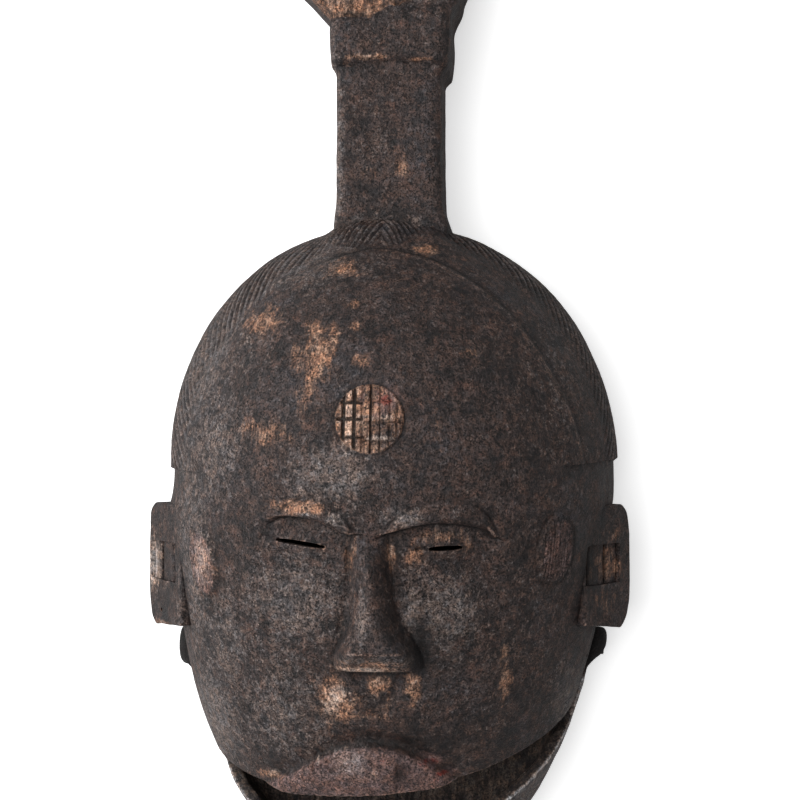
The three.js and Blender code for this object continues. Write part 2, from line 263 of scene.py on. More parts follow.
def headScale(p, offset=0.0, backDepth=None):  # 1 on the head's surface, less inside
    n = head["roundness"]
    reach = (head["crownRise"] if p[1] > head["centreY"] else head["chinDrop"]) + offset
    up = p[2] - head["widestZ"]
    rise = (head["height"] + offset) * recedeAt(p[1]) if up > 0 else (backDepth or head["backDepth"])
    total = abs(p[0] / (head["halfWidth"] + offset)) ** n + abs((p[1] - head["centreY"]) / reach) ** n
    return (total + abs(up / rise) ** n) ** (1 / n)


def ontoHead(p, offset=0.0, backDepth=None):
    centre = Vector((0, head["centreY"], head["widestZ"]))
    point = Vector(p)
    for _ in range(4):
        point = centre + (point - centre) / headScale(point, offset, backDepth)
    return point


def headBlank(segments, offset=0.0, backDepth=None):
    bm = bmesh.new()
    bmesh.ops.create_cube(bm, size=2)
    bmesh.ops.subdivide_edges(bm, edges=bm.edges[:], cuts=segments - 1, use_grid_fill=True)
    centre = Vector((0, head["centreY"], head["widestZ"]))
    for v in bm.verts:
        even = Vector([math.tan(c * math.pi / 4) for c in v.co])
        v.co = ontoHead(centre + 100 * even, offset, backDepth)
    return bm


def cutFlat(bm, place, facing):  # keeps what lies behind the plane and closes it
    geom = bm.verts[:] + bm.edges[:] + bm.faces[:]
    made = bmesh.ops.bisect_plane(bm, geom=geom, plane_co=place, plane_no=facing, clear_outer=True)
    rim = [e for e in made["geom_cut"] if isinstance(e, bmesh.types.BMEdge)]
    bmesh.ops.contextual_create(bm, geom=rim)


def refine(bm, wanted):
    edges = {e for f in bm.faces if len(f.verts) < 9 and wanted(f.calc_center_median()) for e in f.edges}
    made = bmesh.ops.subdivide_edges(bm, edges=list(edges), cuts=1, use_grid_fill=True)
    for item in made["geom_inner"]:
        if isinstance(item, bmesh.types.BMVert) and item.co.z > 0.5:
            item.co = ontoHead(item.co)


lipTurn = Matrix.Rotation(math.radians(lipCut["skewDeg"]), 3, "Z")
lipTurn = lipTurn @ Matrix.Rotation(math.radians(lipCut["leanDeg"]), 3, "X")
lipFacing = lipTurn @ Vector((0, 1, 0))


def lipBlock(gap):  # everything below the lip; its upper face is the cut
    bm = bmesh.new()
    bmesh.ops.create_cube(bm, size=2 * far)
    bmesh.ops.translate(bm, vec=(0, -far - gap, 0), verts=bm.verts)
    bmesh.ops.rotate(bm, cent=(0, 0, 0), matrix=lipTurn, verts=bm.verts)
    bmesh.ops.translate(bm, vec=(0, lipCut["y"], 0), verts=bm.verts)
    return objectFrom(bm, "below_lip")


def aboveLip(p):  # distance from the cut, positive on the face's side
    return lipFacing.dot(Vector(p) - Vector((0, lipCut["y"], 0)))


hair = {
    "relief": 1.8, "crownRelief": 0.3, "crownReach": 95, "thinFrom": 0.62, "thinTo": 0.97, "thin": 0.5,
    "perimeterRadius": 104, "endAngleDeg": 86.5, "leftStretch": 1.027, "edgeZ": 83, "edgeBulge": 10,
    "edgeSpanDeg": 96, "lean": 64, "pitch": 5.0, "leftDepth": 1.1, "rightDepth": 1.9, "thickness": 3.6,
    "perPitch": 6,
    "swell": [(-34, 0), (-27, 0.5), (-20, 3.2), (-12, 4.6), (-5.5, 5.3), (3.3, 5.2), (8, 4.3), (12, 3.8),
              (20, 4.0), (25, 2.4), (31, 0.7), (42, 0)],
    "bump": {"at": 36, "reach": 9, "height": 0.7}, "crownFiner": 0.35, "finerReach": 34,
    "rows": [(0, 0), (30, 0.9), (44, 1.045), (52, 1.22)], "leftFade": 0.93, "rightFade": 0.72,
    "trough": 0.55, "lip": 1.0, "lipLeft": 0.6, "crownHalf": 30,
}


def hairEdge(angle):  # how far up the hair reaches, before the forehead begins
    part = min(math.degrees(abs(angle)) / hair["edgeSpanDeg"], 1)
    return hair["edgeZ"] + hair["edgeBulge"] * math.sin(math.pi * part)


headSway = {
    "from": (35, 75), "both": [(-175, -1.3), (-118, -1.1), (-92, 0), (-60, 0)],
    "left": [(-40, 0), (-35, 1.5), (-28, 2.5), (-20, 2.8), (-8, 2.4), (80, 2.1)],
    "right": [(-42, 0), (-37, 1.3), (-22, 1.4), (4, 0.9), (30, 0.2), (60, 0), (80, 0.8)],
}


def swayed(p):  # the carving isn't quite even: the crown leans right and the chin left
    aside = smooth(*headSway["from"], abs(p[0]))
    shift = along(headSway["both"], p[1]) + along(headSway["left" if p[0] < 0 else "right"], p[1])
    return Vector((p[0] + aside * shift, p[1], p[2]))


def unswayed(p):
    return 2 * Vector(p) - swayed(p)


def hairSpot(p):  # place along and across the hair band, or nothing away from it
    x, y, z = unswayed(p)
    if not -24 < y < 90:
        return None
    angle = math.atan2(x, y - head["centreY"])
    s = angle * hair["perimeterRadius"]
    if headScale((x, y, z), along(hair["swell"], s) + 3.5) > 1:
        return None
    if s < 0:
        s /= hair["leftStretch"]
    if abs(math.degrees(s / hair["perimeterRadius"])) > hair["endAngleDeg"] + 0.3:
        return None
    return s, z / hairEdge(angle)


print("face")

brow = {
    "leftTop": [(-37.5, -38.6), (-33.9, -34.8), (-29.7, -32.9), (-25.6, -32.0), (-20.3, -32.3),
                (-15.5, -34.8), (-11.6, -37.9), (-7.7, -41.8), (-4.6, -45.0)],
    "leftLow": [(-37.5, -38.8), (-31.1, -38.7), (-25.7, -39.2), (-21.7, -40.3), (-15.7, -42.8),
                (-11.7, -44.7), (-7.8, -45.6), (-4.6, -45.2)],
    "rightTop": [(5.2, -45.3), (8.0, -41.4), (11.2, -38.6), (15.9, -35.8), (21.7, -33.9), (29.5, -32.8),
                 (35.3, -32.9), (41.1, -34.6), (44.9, -37.1), (48.0, -41.2), (50.4, -46.5)],
    "rightLow": [(5.2, -45.5), (11.9, -43.8), (17.8, -42.2), (23.6, -41.3), (29.4, -41.1), (35.2, -41.6),
                 (41.0, -42.6), (44.9, -43.8), (48.8, -47.2), (50.4, -47.0)],
    "bulge": 1.9,
}
eye = {
    "depth": 4.3, "fadeFrom": 13, "fadeTo": 42, "outerFrom": 32, "outerTo": 50,
    "left": {"slit": [(-38.6, -48.2), (-18.2, -50.8)], "height": 2.1, "leadIn": (-44.5, -47.1)},
    "right": {"slit": [(22.6, -51.5), (36.0, -50.9)], "height": 2.1, "leadIn": (18.6, -52.1)},
}
nose = {
    "left": [(-101, -17.4), (-94.6, -16.6), (-88.2, -14.4), (-80, -11.6), (-71.6, -9.9), (-61, -9.2),
             (-46, -8.8)],
    "right": [(-101, 21.6), (-94.6, 20.8), (-88, 17.8), (-79.7, 13.8), (-71.5, 11.0), (-63, 9.8),
              (-46, 8.6)],
    "rise": [(-101, 19.1), (-95, 18.9), (-91, 18.6), (-83, 16.0), (-72, 11.7), (-62, 7.8), (-56, 5.2),
             (-50, 2.0), (-45, -1.5)],
    "tipY": -91.8, "rimY": -99.6, "facetDrop": 8.2, "sink": 6, "ridge": (-0.8, 2.6), "crease": 0.55,
    "squareLeft": [(-98, 6.5), (-92, 5.0), (-85, 2.6), (-60, 2.0)],
    "squareRight": [(-98, 6.5), (-92, 4.6), (-85, 2.5), (-74, 1.8), (-50, 1.7)],
}
philtrum = {
    "strokes": [[(-6.4, -103), (-3.4, -110.5), (1.3, -119)], [(12.6, -103), (7.8, -111), (2.6, -118.4)]],
    "width": 5.6, "depth": 1.0,
}
mouth = {
    "arch": [(-53.0, -157.5), (-50.5, -155.5), (-44.7, -152.4), (-37.4, -148.2), (-31.3, -143.9),
             (-24.5, -139.6), (-17.1, -135.9), (-9.9, -133.8), (-3.2, -133.1), (3.7, -133.8), (9.7, -135.6),
             (16.9, -139.4), (23.7, -143.7), (29.7, -147.2), (36.0, -151.5)],
    "relief": 2.9, "bulge": 0.7, "hollow": 2.2, "tailLeft": 16, "tailRight": 13,
    "notch": {"x": (7.4, 12.2), "y": (-152, -139.5), "depth": 1.0},
    "nicks": [(-25.6, -141.2, 0.7), (-22.4, -140.4, 0.8), (-19.5, -139.6, 0.6)],
}
disc = {
    "x": 0.1, "y": 0.0, "radius": 13.7, "rimWidth": 0.6, "rimDepth": 0.2, "relief": 0.5,
    "uprights": [(-10.3, 1.6, 1.2), (-6.0, 1.5, 1.2), (-2.8, 0.7, 0.4), (0.4, 0.9, 0.9), (4.1, 0.7, 0.45),
                 (7.8, 0.8, 0.45), (10.6, 0.7, 0.4)],
    "bars": [(6.4, 1.2, 1.1, -3.4), (-0.1, 1.2, 1.1, -3.4), (-7.1, 1.1, 1.1, -2.6)],
    "finebars": [(6.9, 0.6, 0.35), (-1.3, 0.6, 0.4), (-8.6, 0.6, 0.4)],
}
cheek = {
    "z": 97, "relief": 1.2, "grooves": 1.5,
    "left": {"x": 72.4, "y": -59.6, "halfWidth": 10.4, "halfHeight": 15.6, "paint": 0.62},
    "right": {"x": 73.3, "y": -53.3, "halfWidth": 11.2, "halfHeight": 15.0, "paint": 0.5},
}


def toSegment(x, y, a, b):
    run = (b[0] - a[0], b[1] - a[1])
    t = clamp(((x - a[0]) * run[0] + (y - a[1]) * run[1]) / (run[0] ** 2 + run[1] ** 2))
    return math.hypot(x - a[0] - t * run[0], y - a[1] - t * run[1])


def grooveProfile(distance, width):  # 1 in the middle of a groove, 0 outside it
    return 1 - smooth(0.22 * width, 0.62 * width, abs(distance))


def browRelief(x, y):
    side = "left" if x < 0 else "right"
    top = along(brow[side + "Top"], x)
    low = along(brow[side + "Low"], x)
    first, last = brow[side + "Top"][0][0], brow[side + "Top"][-1][0]
    inSpan = smooth(first - 0.5, first + 5, x) * (1 - smooth(last - 5, last + 0.5, x))
    thick = max(top - low, 0.8)
    v = (y - low) / thick
    bump = brow["bulge"] * inSpan * smooth(-0.12, 0.3, v) * (1 - smooth(0.55, 1.15, v))
    crease = 0.15 * inSpan * math.exp(-((y - top - 0.7) / 0.9) ** 2)
    return bump - crease


def eyeHollow(x, y):
    side = "left" if x < 0 else "right"
    low = along(brow[side + "Low"], x)
    first, last = brow[side + "Low"][0][0], brow[side + "Low"][-1][0]
    beyond = max(first - x, x - last, 0) if side == "right" else max(first - x, 0)
    below = low - y - 0.25 * beyond
    reachX = abs(x)
    outer = 1 - smooth(eye["outerFrom"], eye["outerTo"], reachX - (9 if side == "right" else 0))
    inner = smooth(0, 6, reachX - 1)
    drop = smooth(-0.6, 1.1 + 0.35 * beyond, below) * (1 - 0.25 * smooth(2, 12, below))
    fade = 1 - smooth(eye["fadeFrom"], eye["fadeTo"], below)
    return eye["depth"] * drop * fade * outer * inner


def eyeLid(x, y):
    side = eye["left"] if x < 0 else eye["right"]
    (ax, ay), (bx, by) = side["slit"]
    middle = ((ax + bx) / 2, (ay + by) / 2)
    r = ((x - middle[0]) / 16) ** 2 + ((y - middle[1]) / 6.2) ** 2
    lid = 0.9 * max(0, 1 - r)
    lead = grooveProfile(toSegment(x, y, side["leadIn"], side["slit"][0]), 1.6)
    return lid - 0.6 * lead - 0.35 * grooveProfile(toSegment(x, y, *side["slit"]), 2.0)


def noseRise(x, y):  # height over the head's plain surface, or None away from the nose
    if y > -43.5 or y < -102.5:
        return None
    left, right = along(nose["left"], y), along(nose["right"], y)
    middle = lerp(*nose["ridge"], smooth(-50, -90, y))
    half = (middle - left) if x < middle else (right - middle)
    square = along(nose["squareLeft" if x < middle else "squareRight"], y)
    u = abs(x - middle) / half
    if u > 1.25:
        return None
    rise = along(nose["rise"], y)
    facet = clamp((nose["tipY"] - y) / (nose["tipY"] - nose["rimY"]))
    rise -= nose["facetDrop"] * facet
    rise *= 1 - smooth(-nose["rimY"], -nose["rimY"] + 1.7, -y)
    bridge = (rise + nose["sink"]) * (1 - u ** square)
    return bridge - nose["sink"]


def toPath(x, y, path):
    return min(toSegment(x, y, a, b) for a, b in zip(path, path[1:]))


def philtrumDepth(x, y):  # two shallow strokes that meet in a point
    away = min(toPath(x, y, stroke) for stroke in philtrum["strokes"])
    return philtrum["depth"] * grooveProfile(away, philtrum["width"])


def mouthRelief(x, y):
    arch = along(mouth["arch"], x)
    first, last = mouth["arch"][0][0], mouth["arch"][-1][0]
    inSpan = smooth(first - 1, first + mouth["tailLeft"], x)
    inSpan *= 1 - smooth(last - mouth["tailRight"], last + 1, x)
    below = arch - y
    pad = mouth["relief"] * inSpan * smooth(-0.5, 0.9, below)
    belly = mouth["bulge"] * inSpan * math.exp(-((below - 7) / 6) ** 2)
    deep = mouth["hollow"] * (0.45 + 0.55 * smooth(-20, 12, x))
    hollow = deep * inSpan * math.exp(-((below + 2.4) / 3.2) ** 2)
    notch = mouth["notch"]
    cut = smooth(notch["x"][0], notch["x"][0] + 0.6, x) * (1 - smooth(notch["x"][1] - 0.6, notch["x"][1], x))
    cut *= smooth(notch["y"][0], notch["y"][0] + 1, y) * (1 - smooth(notch["y"][1] - 1, notch["y"][1], y))
    nick = sum(0.6 * grooveProfile(x - place, 2 * width) * (1 - smooth(2.5, 3.5, abs(y - middle)))
               for place, middle, width in mouth["nicks"])
    return pad + belly - hollow - notch["depth"] * cut - nick


def onLip(p):  # 1 on the painted lip, 0 above its arch
    below = along(mouth["arch"], p[0]) - p[1]
    return smooth(-0.2, 0.9, below) * smooth(-54, -47, p[0]) * (1 - smooth(30, 37, p[0]))


def overLip(p):  # the shadow line along the arch
    below = along(mouth["arch"], p[0]) - p[1]
    return math.exp(-((below + 0.7) / 0.8) ** 2) * smooth(-34, -24, p[0]) * (1 - smooth(28, 36, p[0]))


def discRelief(x, y):
    dx, dy = x - disc["x"], y - disc["y"]
    wobble = 0.5 * rough((dx, dy, 0), 6, 3.1)
    r = math.hypot(dx, dy) + wobble
    if r > disc["radius"] + 2:
        return 0
    height = disc["relief"] * (1 - smooth(disc["radius"] - 0.7, disc["radius"], r))
    height -= disc["rimDepth"] * grooveProfile(r - disc["radius"] - 0.45, disc["rimWidth"] * 1.5)
    inside = 1 - smooth(disc["radius"] - 0.8, disc["radius"] - 0.1, r)
    depth = 0
    sway = 0.25 * rough((dx, dy, 5), 5, 1.7)
    for place, width, deep in disc["uprights"]:
        depth = max(depth, deep * grooveProfile(dx - place + sway, width))
    for place, width, deep, until in disc["bars"]:
        groove = deep * grooveProfile(dy - place + sway, width)
        depth = max(depth, groove * (1 - smooth(until, until + 1.5, dx)))
    for place, width, deep in disc["finebars"]:
        depth = max(depth, deep * grooveProfile(dy - place - sway, width) * smooth(-4, -2, dx))
    return height - inside * depth


def cheekAway(p):  # 0 in the middle of a cheek disc, 1 at its rim
    spot = cheek["left" if p[0] < 0 else "right"]
    slope = math.hypot(abs(p[0]) - spot["x"], p[2] - cheek["z"])
    return math.hypot(slope / spot["halfWidth"], (p[1] - spot["y"]) / spot["halfHeight"])


def cheekLines(p):  # fine upright grooves, -1 to 1
    spot = cheek["left" if p[0] < 0 else "right"]
    across = math.hypot(abs(p[0]) - spot["x"], p[2] - cheek["z"]) * (1 if p[2] < cheek["z"] else -1)
    return math.sin(2 * math.pi * across / cheek["grooves"] + 2.5 * rough(p, 8, 0.4))


def cheekRelief(p):
    r = cheekAway(p) + 0.05 * rough(p, 7, 3.8)
    if r > 1.3:
        return 0
    rim = 0.35 * math.exp(-((r - 1.06) / 0.07) ** 2)
    return (cheek["relief"] + 0.3 * cheekLines(p)) * (1 - smooth(0.84, 1.03, r)) - rim


def detailAt(p):  # how many times the head's faces are split there
    x, y, z = p
    if z < 8:
        return 0
    if math.hypot(x - disc["x"], y - disc["y"]) < disc["radius"] + 2:
        return 3
    if cheekAway(p) < 1.25:
        return 2
    if y < -125 and aboveLip(p) < -8:
        return 0
    if z > 60:
        if -104 < y < -44 and abs(x - 1) < 21:
            return 3 if y < -86 or y > -62 else 2
        if -54 < y < -29 and abs(x) < 56:
            low = along(brow["leftLow" if x < 0 else "rightLow"], x)
            return 3 if abs(x) > 3 and y > -49 and low < y + 3 else 2
        if abs(x + 7) < 50 and abs(y - along(mouth["arch"], x)) < 4:
            return 3
        if abs(aboveLip(p)) < 4 or (abs(x + 7) < 50 and y < along(mouth["arch"], x)):
            return 2
    return 1


def underHair(p):  # 1 where the hair band and the forehead's edge lie over the head's own skin
    if p.y < -17:
        return 0
    angle = math.atan2(p.x, p.y - head["centreY"])
    t = p.z / hairEdge(angle)
    return smooth(-17, -9, p.y) * (1 - smooth(1.06, 1.15, t))


def shapeFace(bm):
    bm.normal_update()
    moves = []
    for v in bm.verts:
        p = v.co.copy()
        if p.z < 1:
            moves.append(p)
            continue
        lift = 0.35 * rough(p, 24, 4.2) + 0.16 * rough(p, 8, 1.3) + 0.07 * rough(p, 3.4, 8.1)
        lift -= 1.6 * underHair(p)
        rise = 0.0
        if p.z > 55 and p.y < 20:
            if p.y < -28 and p.y > -90:
                lift += browRelief(p.x, p.y) - eyeHollow(p.x, p.y) + (eyeLid(p.x, p.y) if p.y > -60 else 0)
            if p.y < -100 and p.y > -119:
                lift -= philtrumDepth(p.x, p.y)
            if p.y < -125:
                lift += mouthRelief(p.x, p.y)
            lift += discRelief(p.x, p.y) + cheekRelief(p)
            nosePart = noseRise(p.x, p.y)
            if nosePart is not None:
                beside = p.x - along(nose["left"], p.y)
                crease = nose["crease"] * grooveProfile(beside + 0.4, 2.2)
                lift -= crease * smooth(-90, -82, p.y) * smooth(-48, -54, p.y)
                ground = lift * v.normal.z
                blend = 0.9
                gap = nosePart - ground
                if gap > -blend:
                    t = clamp((gap + blend) / (2 * blend))
                    rise = max(gap, 0) if gap > blend else blend * t * t
                    rise *= 1 - 0.02 * abs(rough(p, 4, 2.2))
        edge = aboveLip(p)
        if edge < lipCut["roundOver"]:
            r = lipCut["roundOver"]
            lift -= r - math.sqrt(max(r * r - (r - max(edge, 0)) ** 2, 0))
        moves.append(swayed(p + v.normal * lift + Vector((0, 0, rise))))
    for v, place in zip(bm.verts, moves):
        v.co = place


def makeHead():
    bm = headBlank(head["segments"])
    cutFlat(bm, (0, 0, 0), (0, 0, -1))
    for level in (1, 2, 3):
        refine(bm, lambda p: detailAt(p) >= level)
    shapeFace(bm)
    return objectFrom(bm, "mask_carving")


mask = makeHead()
print("head faces", len(mask.data.polygons))

print("hair")


def hairPlace(s, t, offset):  # s runs from the crown down one side, t from the rear to the forehead
    angle = (s * hair["leftStretch"] if s < 0 else s) / hair["perimeterRadius"]
    z = hairEdge(angle) * t
    direction = Vector((math.sin(angle), math.cos(angle), 0))
    low, high = 20.0, 160.0
    for _ in range(22):
        middle = (low + high) / 2
        p = Vector((0, head["centreY"], z)) + direction * middle
        if headScale(p, offset) < 1:
            low = middle
        else:
            high = middle
    return Vector((0, head["centreY"], z)) + direction * low


def hairGroove(s, t):  # 0 on a ridge, 1 at the bottom of a groove
    g = (abs(s) - hair["lean"] * t) * (1 + hair["crownFiner"] * (1 - smooth(0, hair["finerReach"], abs(s))))
    wave = 0.3 * rough((s, 60 * t, 0), 22, 6.6) + 0.1 * rough((s, 60 * t, 0), 7, 2.4)
    phase = (g / hair["pitch"] + wave) % 1
    return (0.5 - 0.5 * math.cos(2 * math.pi * phase ** 1.15)) ** 1.7


def grooveKept(s, t):  # where the grooves are still deep: they fade towards the forehead
    fade = hair["leftFade"] if s < 0 else hair["rightFade"]
    crown = 1 - smooth(0, hair["crownHalf"], abs(s))
    fade = lerp(fade, 0.94, crown) + 0.05 * rough((s, 0, 0), 14, 9.1)
    end = 0.05 if s < 0 else 0.12
    return (1 - smooth(fade - end, fade + end, t)) * clamp(0.85 + 0.4 * rough((s, 60 * t, 3), 15, 5.5))


def hairHeight(s, t):
    crown = 1 - smooth(0, hair["crownHalf"], abs(s))
    point = (s, 60 * t, 11)
    wear = 0.2 * rough(point, 16, 7.7) + 0.1 * rough(point, 5, 3.3)
    relief = lerp(hair["crownRelief"], hair["relief"], smooth(15, hair["crownReach"], abs(s)))
    height = lerp(relief, hair["thin"], smooth(hair["thinFrom"], hair["thinTo"], t))
    height -= (0.35 + 0.65 * crown) * hair["trough"] * math.exp(-((t - 1.0) / 0.014) ** 2)
    lip = hair["lip"] if s > 0 else lerp(hair["lipLeft"], hair["lip"], crown)
    rise = lip * smooth(1.0, 1.03, t)
    height = lerp(height, rise, smooth(0.985, 1.02, t))
    height -= (lip + 0.6) * smooth(1.05, 1.22, t)
    height += along(hair["swell"], s) * smooth(0.4, 0.7, t) * (1 - smooth(0.8, 1.0, t))
    bump = hair["bump"]
    height += bump["height"] * math.exp(-((s - bump["at"]) / bump["reach"]) ** 2) * (1 - smooth(0.8, 1, t))
    depth = lerp(hair["leftDepth"], hair["rightDepth"], smooth(-20, 30, s))
    return height - depth * grooveKept(s, t) * hairGroove(s, t) + wear * (1 - smooth(1.0, 1.2, t))


def makeHair():
    end = math.radians(hair["endAngleDeg"]) * hair["perimeterRadius"]
    rows, furthest = hair["rows"][-1]
    first, last = -hair["lean"] * furthest, end
    columns = round((last - first) / hair["pitch"] * hair["perPitch"])
    bm = bmesh.new()
    bmesh.ops.create_grid(bm, x_segments=columns, y_segments=rows, size=1)
    steps = [row for row, _ in hair["rows"]]
    places = [place for _, place in hair["rows"]]
    for v in bm.verts:
        t = float(np.interp((v.co.y + 1) / 2 * rows, steps, places))
        v.co = Vector((lerp(first, last, (v.co.x + 1) / 2) + hair["lean"] * t, t, 0))
    for place, facing in ((0, -1), (end, 1)):
        geom = bm.verts[:] + bm.edges[:] + bm.faces[:]
        bmesh.ops.bisect_plane(bm, geom=geom, plane_co=(place, 0, 0), plane_no=(facing, 0, 0),
                               clear_outer=True)
    for v in bm.verts:
        if abs(v.co.x) < 1e-4:
            v.co.x = 0
    copy = bmesh.ops.duplicate(bm, geom=bm.verts[:] + bm.edges[:] + bm.faces[:])["geom"]
    turned = [v for v in copy if isinstance(v, bmesh.types.BMVert)]
    for v in turned:
        v.co.x = -v.co.x
    bmesh.ops.reverse_faces(bm, faces=[f for f in copy if isinstance(f, bmesh.types.BMFace)])
    bmesh.ops.remove_doubles(bm, verts=bm.verts[:], dist=1e-5)
    for v in bm.verts:
        v.co = swayed(hairPlace(v.co.x, v.co.y, hairHeight(v.co.x, v.co.y)))
    bmesh.ops.recalc_face_normals(bm, faces=bm.faces[:])
    outward = sum(f.normal.dot(f.calc_center_median() - Vector((0, head["centreY"], 20))) for f in bm.faces)
    if outward < 0:
        bmesh.ops.reverse_faces(bm, faces=bm.faces[:])
    bmesh.ops.solidify(bm, geom=bm.faces[:], thickness=hair["thickness"])
    bmesh.ops.remove_doubles(bm, verts=bm.verts[:], dist=1e-4)
    return objectFrom(bm, "hair")


hairPiece = makeHair()
print("hair faces", len(hairPiece.data.polygons))
cutAbove = boxBetween((-far, -far, 0), (far, far, far))
combine(hairPiece, cutAbove, "INTERSECT")
combine(mask, hairPiece, "UNION")

print("crest")

crest = {
    "midZ": 38.5, "halfZ": 23.5, "startY": 62, "topY": 210, "step": 1.25, "around": 8, "corner": 0.2,
    "arch": 2.6,
    "halfX": [(62, 23.6), (82, 25.2), (86, 24.4), (93, 23.2), (147.4, 22.9), (149.3, 23.4), (151.8, 25.2),
              (165, 26.2), (172.5, 26.2), (176, 28.0), (180, 31.0), (186, 34.4), (195, 40.4), (203, 42.4),
              (210, 39.6)],
    "centreX": [(62, 2.0), (82, 2.8), (91, 1.9), (148, 1.8), (152, 2.2), (172, 2.3), (177.5, 1.2),
                (182, 0.2), (187, -1.6), (195, -3.8), (210, -4.2)],
    "grow": [(62, 0), (82, 1.3), (92, 0), (150.6, 0), (152.6, 2.9), (156, 3.5), (172, 3.4), (176, 2.4),
             (180, 1.5), (186, 3), (195, 5), (204, 5.6), (210, 3.4)],
    "torn": [(-45, 167), (-22, 171.5), (-6, 172), (0, 175), (8, 177.4), (13, 181), (18, 188), (30, 197)],
}


def tornAt(p):  # 1 where the upper end is broken down to the wood, on its left and front
    above = p[1] - along(crest["torn"], p[0]) - 1.2 * rough(p, 5, 7.3)
    return smooth(-0.8, 1.4, above) * smooth(30, 44, p[2])


def makeCrest():
    bm = bmesh.new()
    bmesh.ops.create_cube(bm, size=2)
    long = [e for e in bm.edges if abs(e.verts[0].co.y - e.verts[1].co.y) > 1]
    bmesh.ops.bevel(bm, geom=long, offset=crest["corner"], segments=3, profile=0.5, affect="EDGES",
                    material=-1)
    wide = [e for e in bm.edges if e.calc_length() > 1 and abs(e.verts[0].co.y - e.verts[1].co.y) < 0.01]
    bmesh.ops.subdivide_edges(bm, edges=wide, cuts=crest["around"] * 2, use_grid_fill=True)
    long = [e for e in bm.edges if abs(e.verts[0].co.y - e.verts[1].co.y) > 1]
    cuts = round((crest["topY"] - crest["startY"]) / crest["step"])
    bmesh.ops.subdivide_edges(bm, edges=long, cuts=cuts, use_grid_fill=True)
    for v in bm.verts:
        u, w = v.co.x, v.co.z
        y = lerp(crest["startY"], crest["topY"], (v.co.y + 1) / 2)
        arched = y - crest["arch"] * (1 - u * u) * smooth(135, 150, y) * (1 - smooth(160, 170, y))
        halfX = along(crest["halfX"], y)
        halfZ = crest["halfZ"] + along(crest["grow"], arched)
        p = Vector((along(crest["centreX"], y) + u * halfX, y, crest["midZ"] + w * halfZ))
        side = Vector((u, 0, w)).normalized()
        p += side * (0.5 * rough(p, 26, 1.9) + 0.22 * rough(p, 7, 0.7) + 0.08 * rough(p, 3, 2.9))
        p += side * tornAt(p) * (1.4 * rough(p, 6, 3.1) + 1.3 * rough(p, 3.2, 5.7) - 1.1)
        if v.co.y > 0.999:
            p.y += 0.6 * rough(p, 12, 5.1) - 0.5 - 6.5 * max(0, 1 - (u / 0.85) ** 2 - (w / 0.8) ** 2)
        v.co = p
    return objectFrom(bm, "crest")


combine(mask, makeCrest(), "UNION")

print("ears")

ear = {
    "frontX": 86, "frontZ": 76, "rearX": 106.5, "rearZ": 45, "thickness": 17, "topY": -37.5, "bottomY": -91.5,
    "corner": 5, "edge": 1.0, "step": 1.6,
    "recess": {"height": 17, "lift": 1.9, "depth": 4.5, "barDrop": 1.2},
    "left": {"frontLift": 2.4, "start": 6, "end": 34.3, "bars": [(10.9, 22.5), (26.2, 33.2)]},
    "right": {"frontLift": 4.0, "start": 0.5, "end": 28, "bars": [(4, 16.4), (18.9, 27)]},
    "hole": {"x": -98, "y": -84, "z": 57, "radius": 0.75, "tiltDeg": -12},
    "rearTrim": [(0, 8.5), (3, 5.0), (7, 2.4), (14, 0.6), (24, 0), (40, 0.8), (47, 1.6), (51, 3.2),
                 (54, 6.0)],
}


def slabBetween(low, high, edge, segments, step, corner=0.0, cornerFrom=None, seed=0.0, wear=0.25):
    bm = bmesh.new()
    bmesh.ops.create_cube(bm, size=1)
    bmesh.ops.scale(bm, vec=[high[i] - low[i] for i in range(3)], verts=bm.verts)
    bmesh.ops.translate(bm, vec=[(high[i] + low[i]) / 2 for i in range(3)], verts=bm.verts)
    if corner:
        upright = [e for e in bm.edges if abs(e.verts[0].co.z - e.verts[1].co.z) > 0.5 * (high[2] - low[2])
                   and e.verts[0].co.x > cornerFrom]
        bmesh.ops.bevel(bm, geom=upright, offset=corner, segments=6, profile=0.5, affect="EDGES", material=-1)
    sharp = [e for e in bm.edges if e.calc_face_angle(0) > 0.6]
    bmesh.ops.bevel(bm, geom=sharp, offset=edge, segments=segments, profile=0.5, affect="EDGES", material=-1)
    for axis in range(3):
        facing = Vector((0, 0, 0))
        facing[axis] = 1
        count = int((high[axis] - low[axis]) / step)
        for i in range(1, count):
            place = Vector((0, 0, 0))
            place[axis] = lerp(low[axis], high[axis], i / count)
            geom = bm.verts[:] + bm.edges[:] + bm.faces[:]
            bmesh.ops.bisect_plane(bm, geom=geom, plane_co=place, plane_no=facing)
    bm.normal_update()
    for v in bm.verts:
        bumps = rough(v.co, 9, seed + 1) + 0.5 * rough(v.co, 3.5, seed + 2)
        v.co = v.co + v.normal * wear * bumps
    return objectFrom(bm, "slab")


def earMatrix(side):
    slant = math.atan2(ear["rearX"] - ear["frontX"], ear["frontZ"] - ear["rearZ"])
    back = Vector((math.sin(slant), 0, -math.cos(slant)))
    out = Vector((math.cos(slant), 0, math.sin(slant)))
    basis = Matrix((back, (0, 1, 0), out)).transposed().to_4x4()
    placed = Matrix.Translation((ear["frontX"], ear["bottomY"], ear["frontZ"])) @ basis
    return Matrix.Diagonal((side, 1, 1, 1)) @ placed


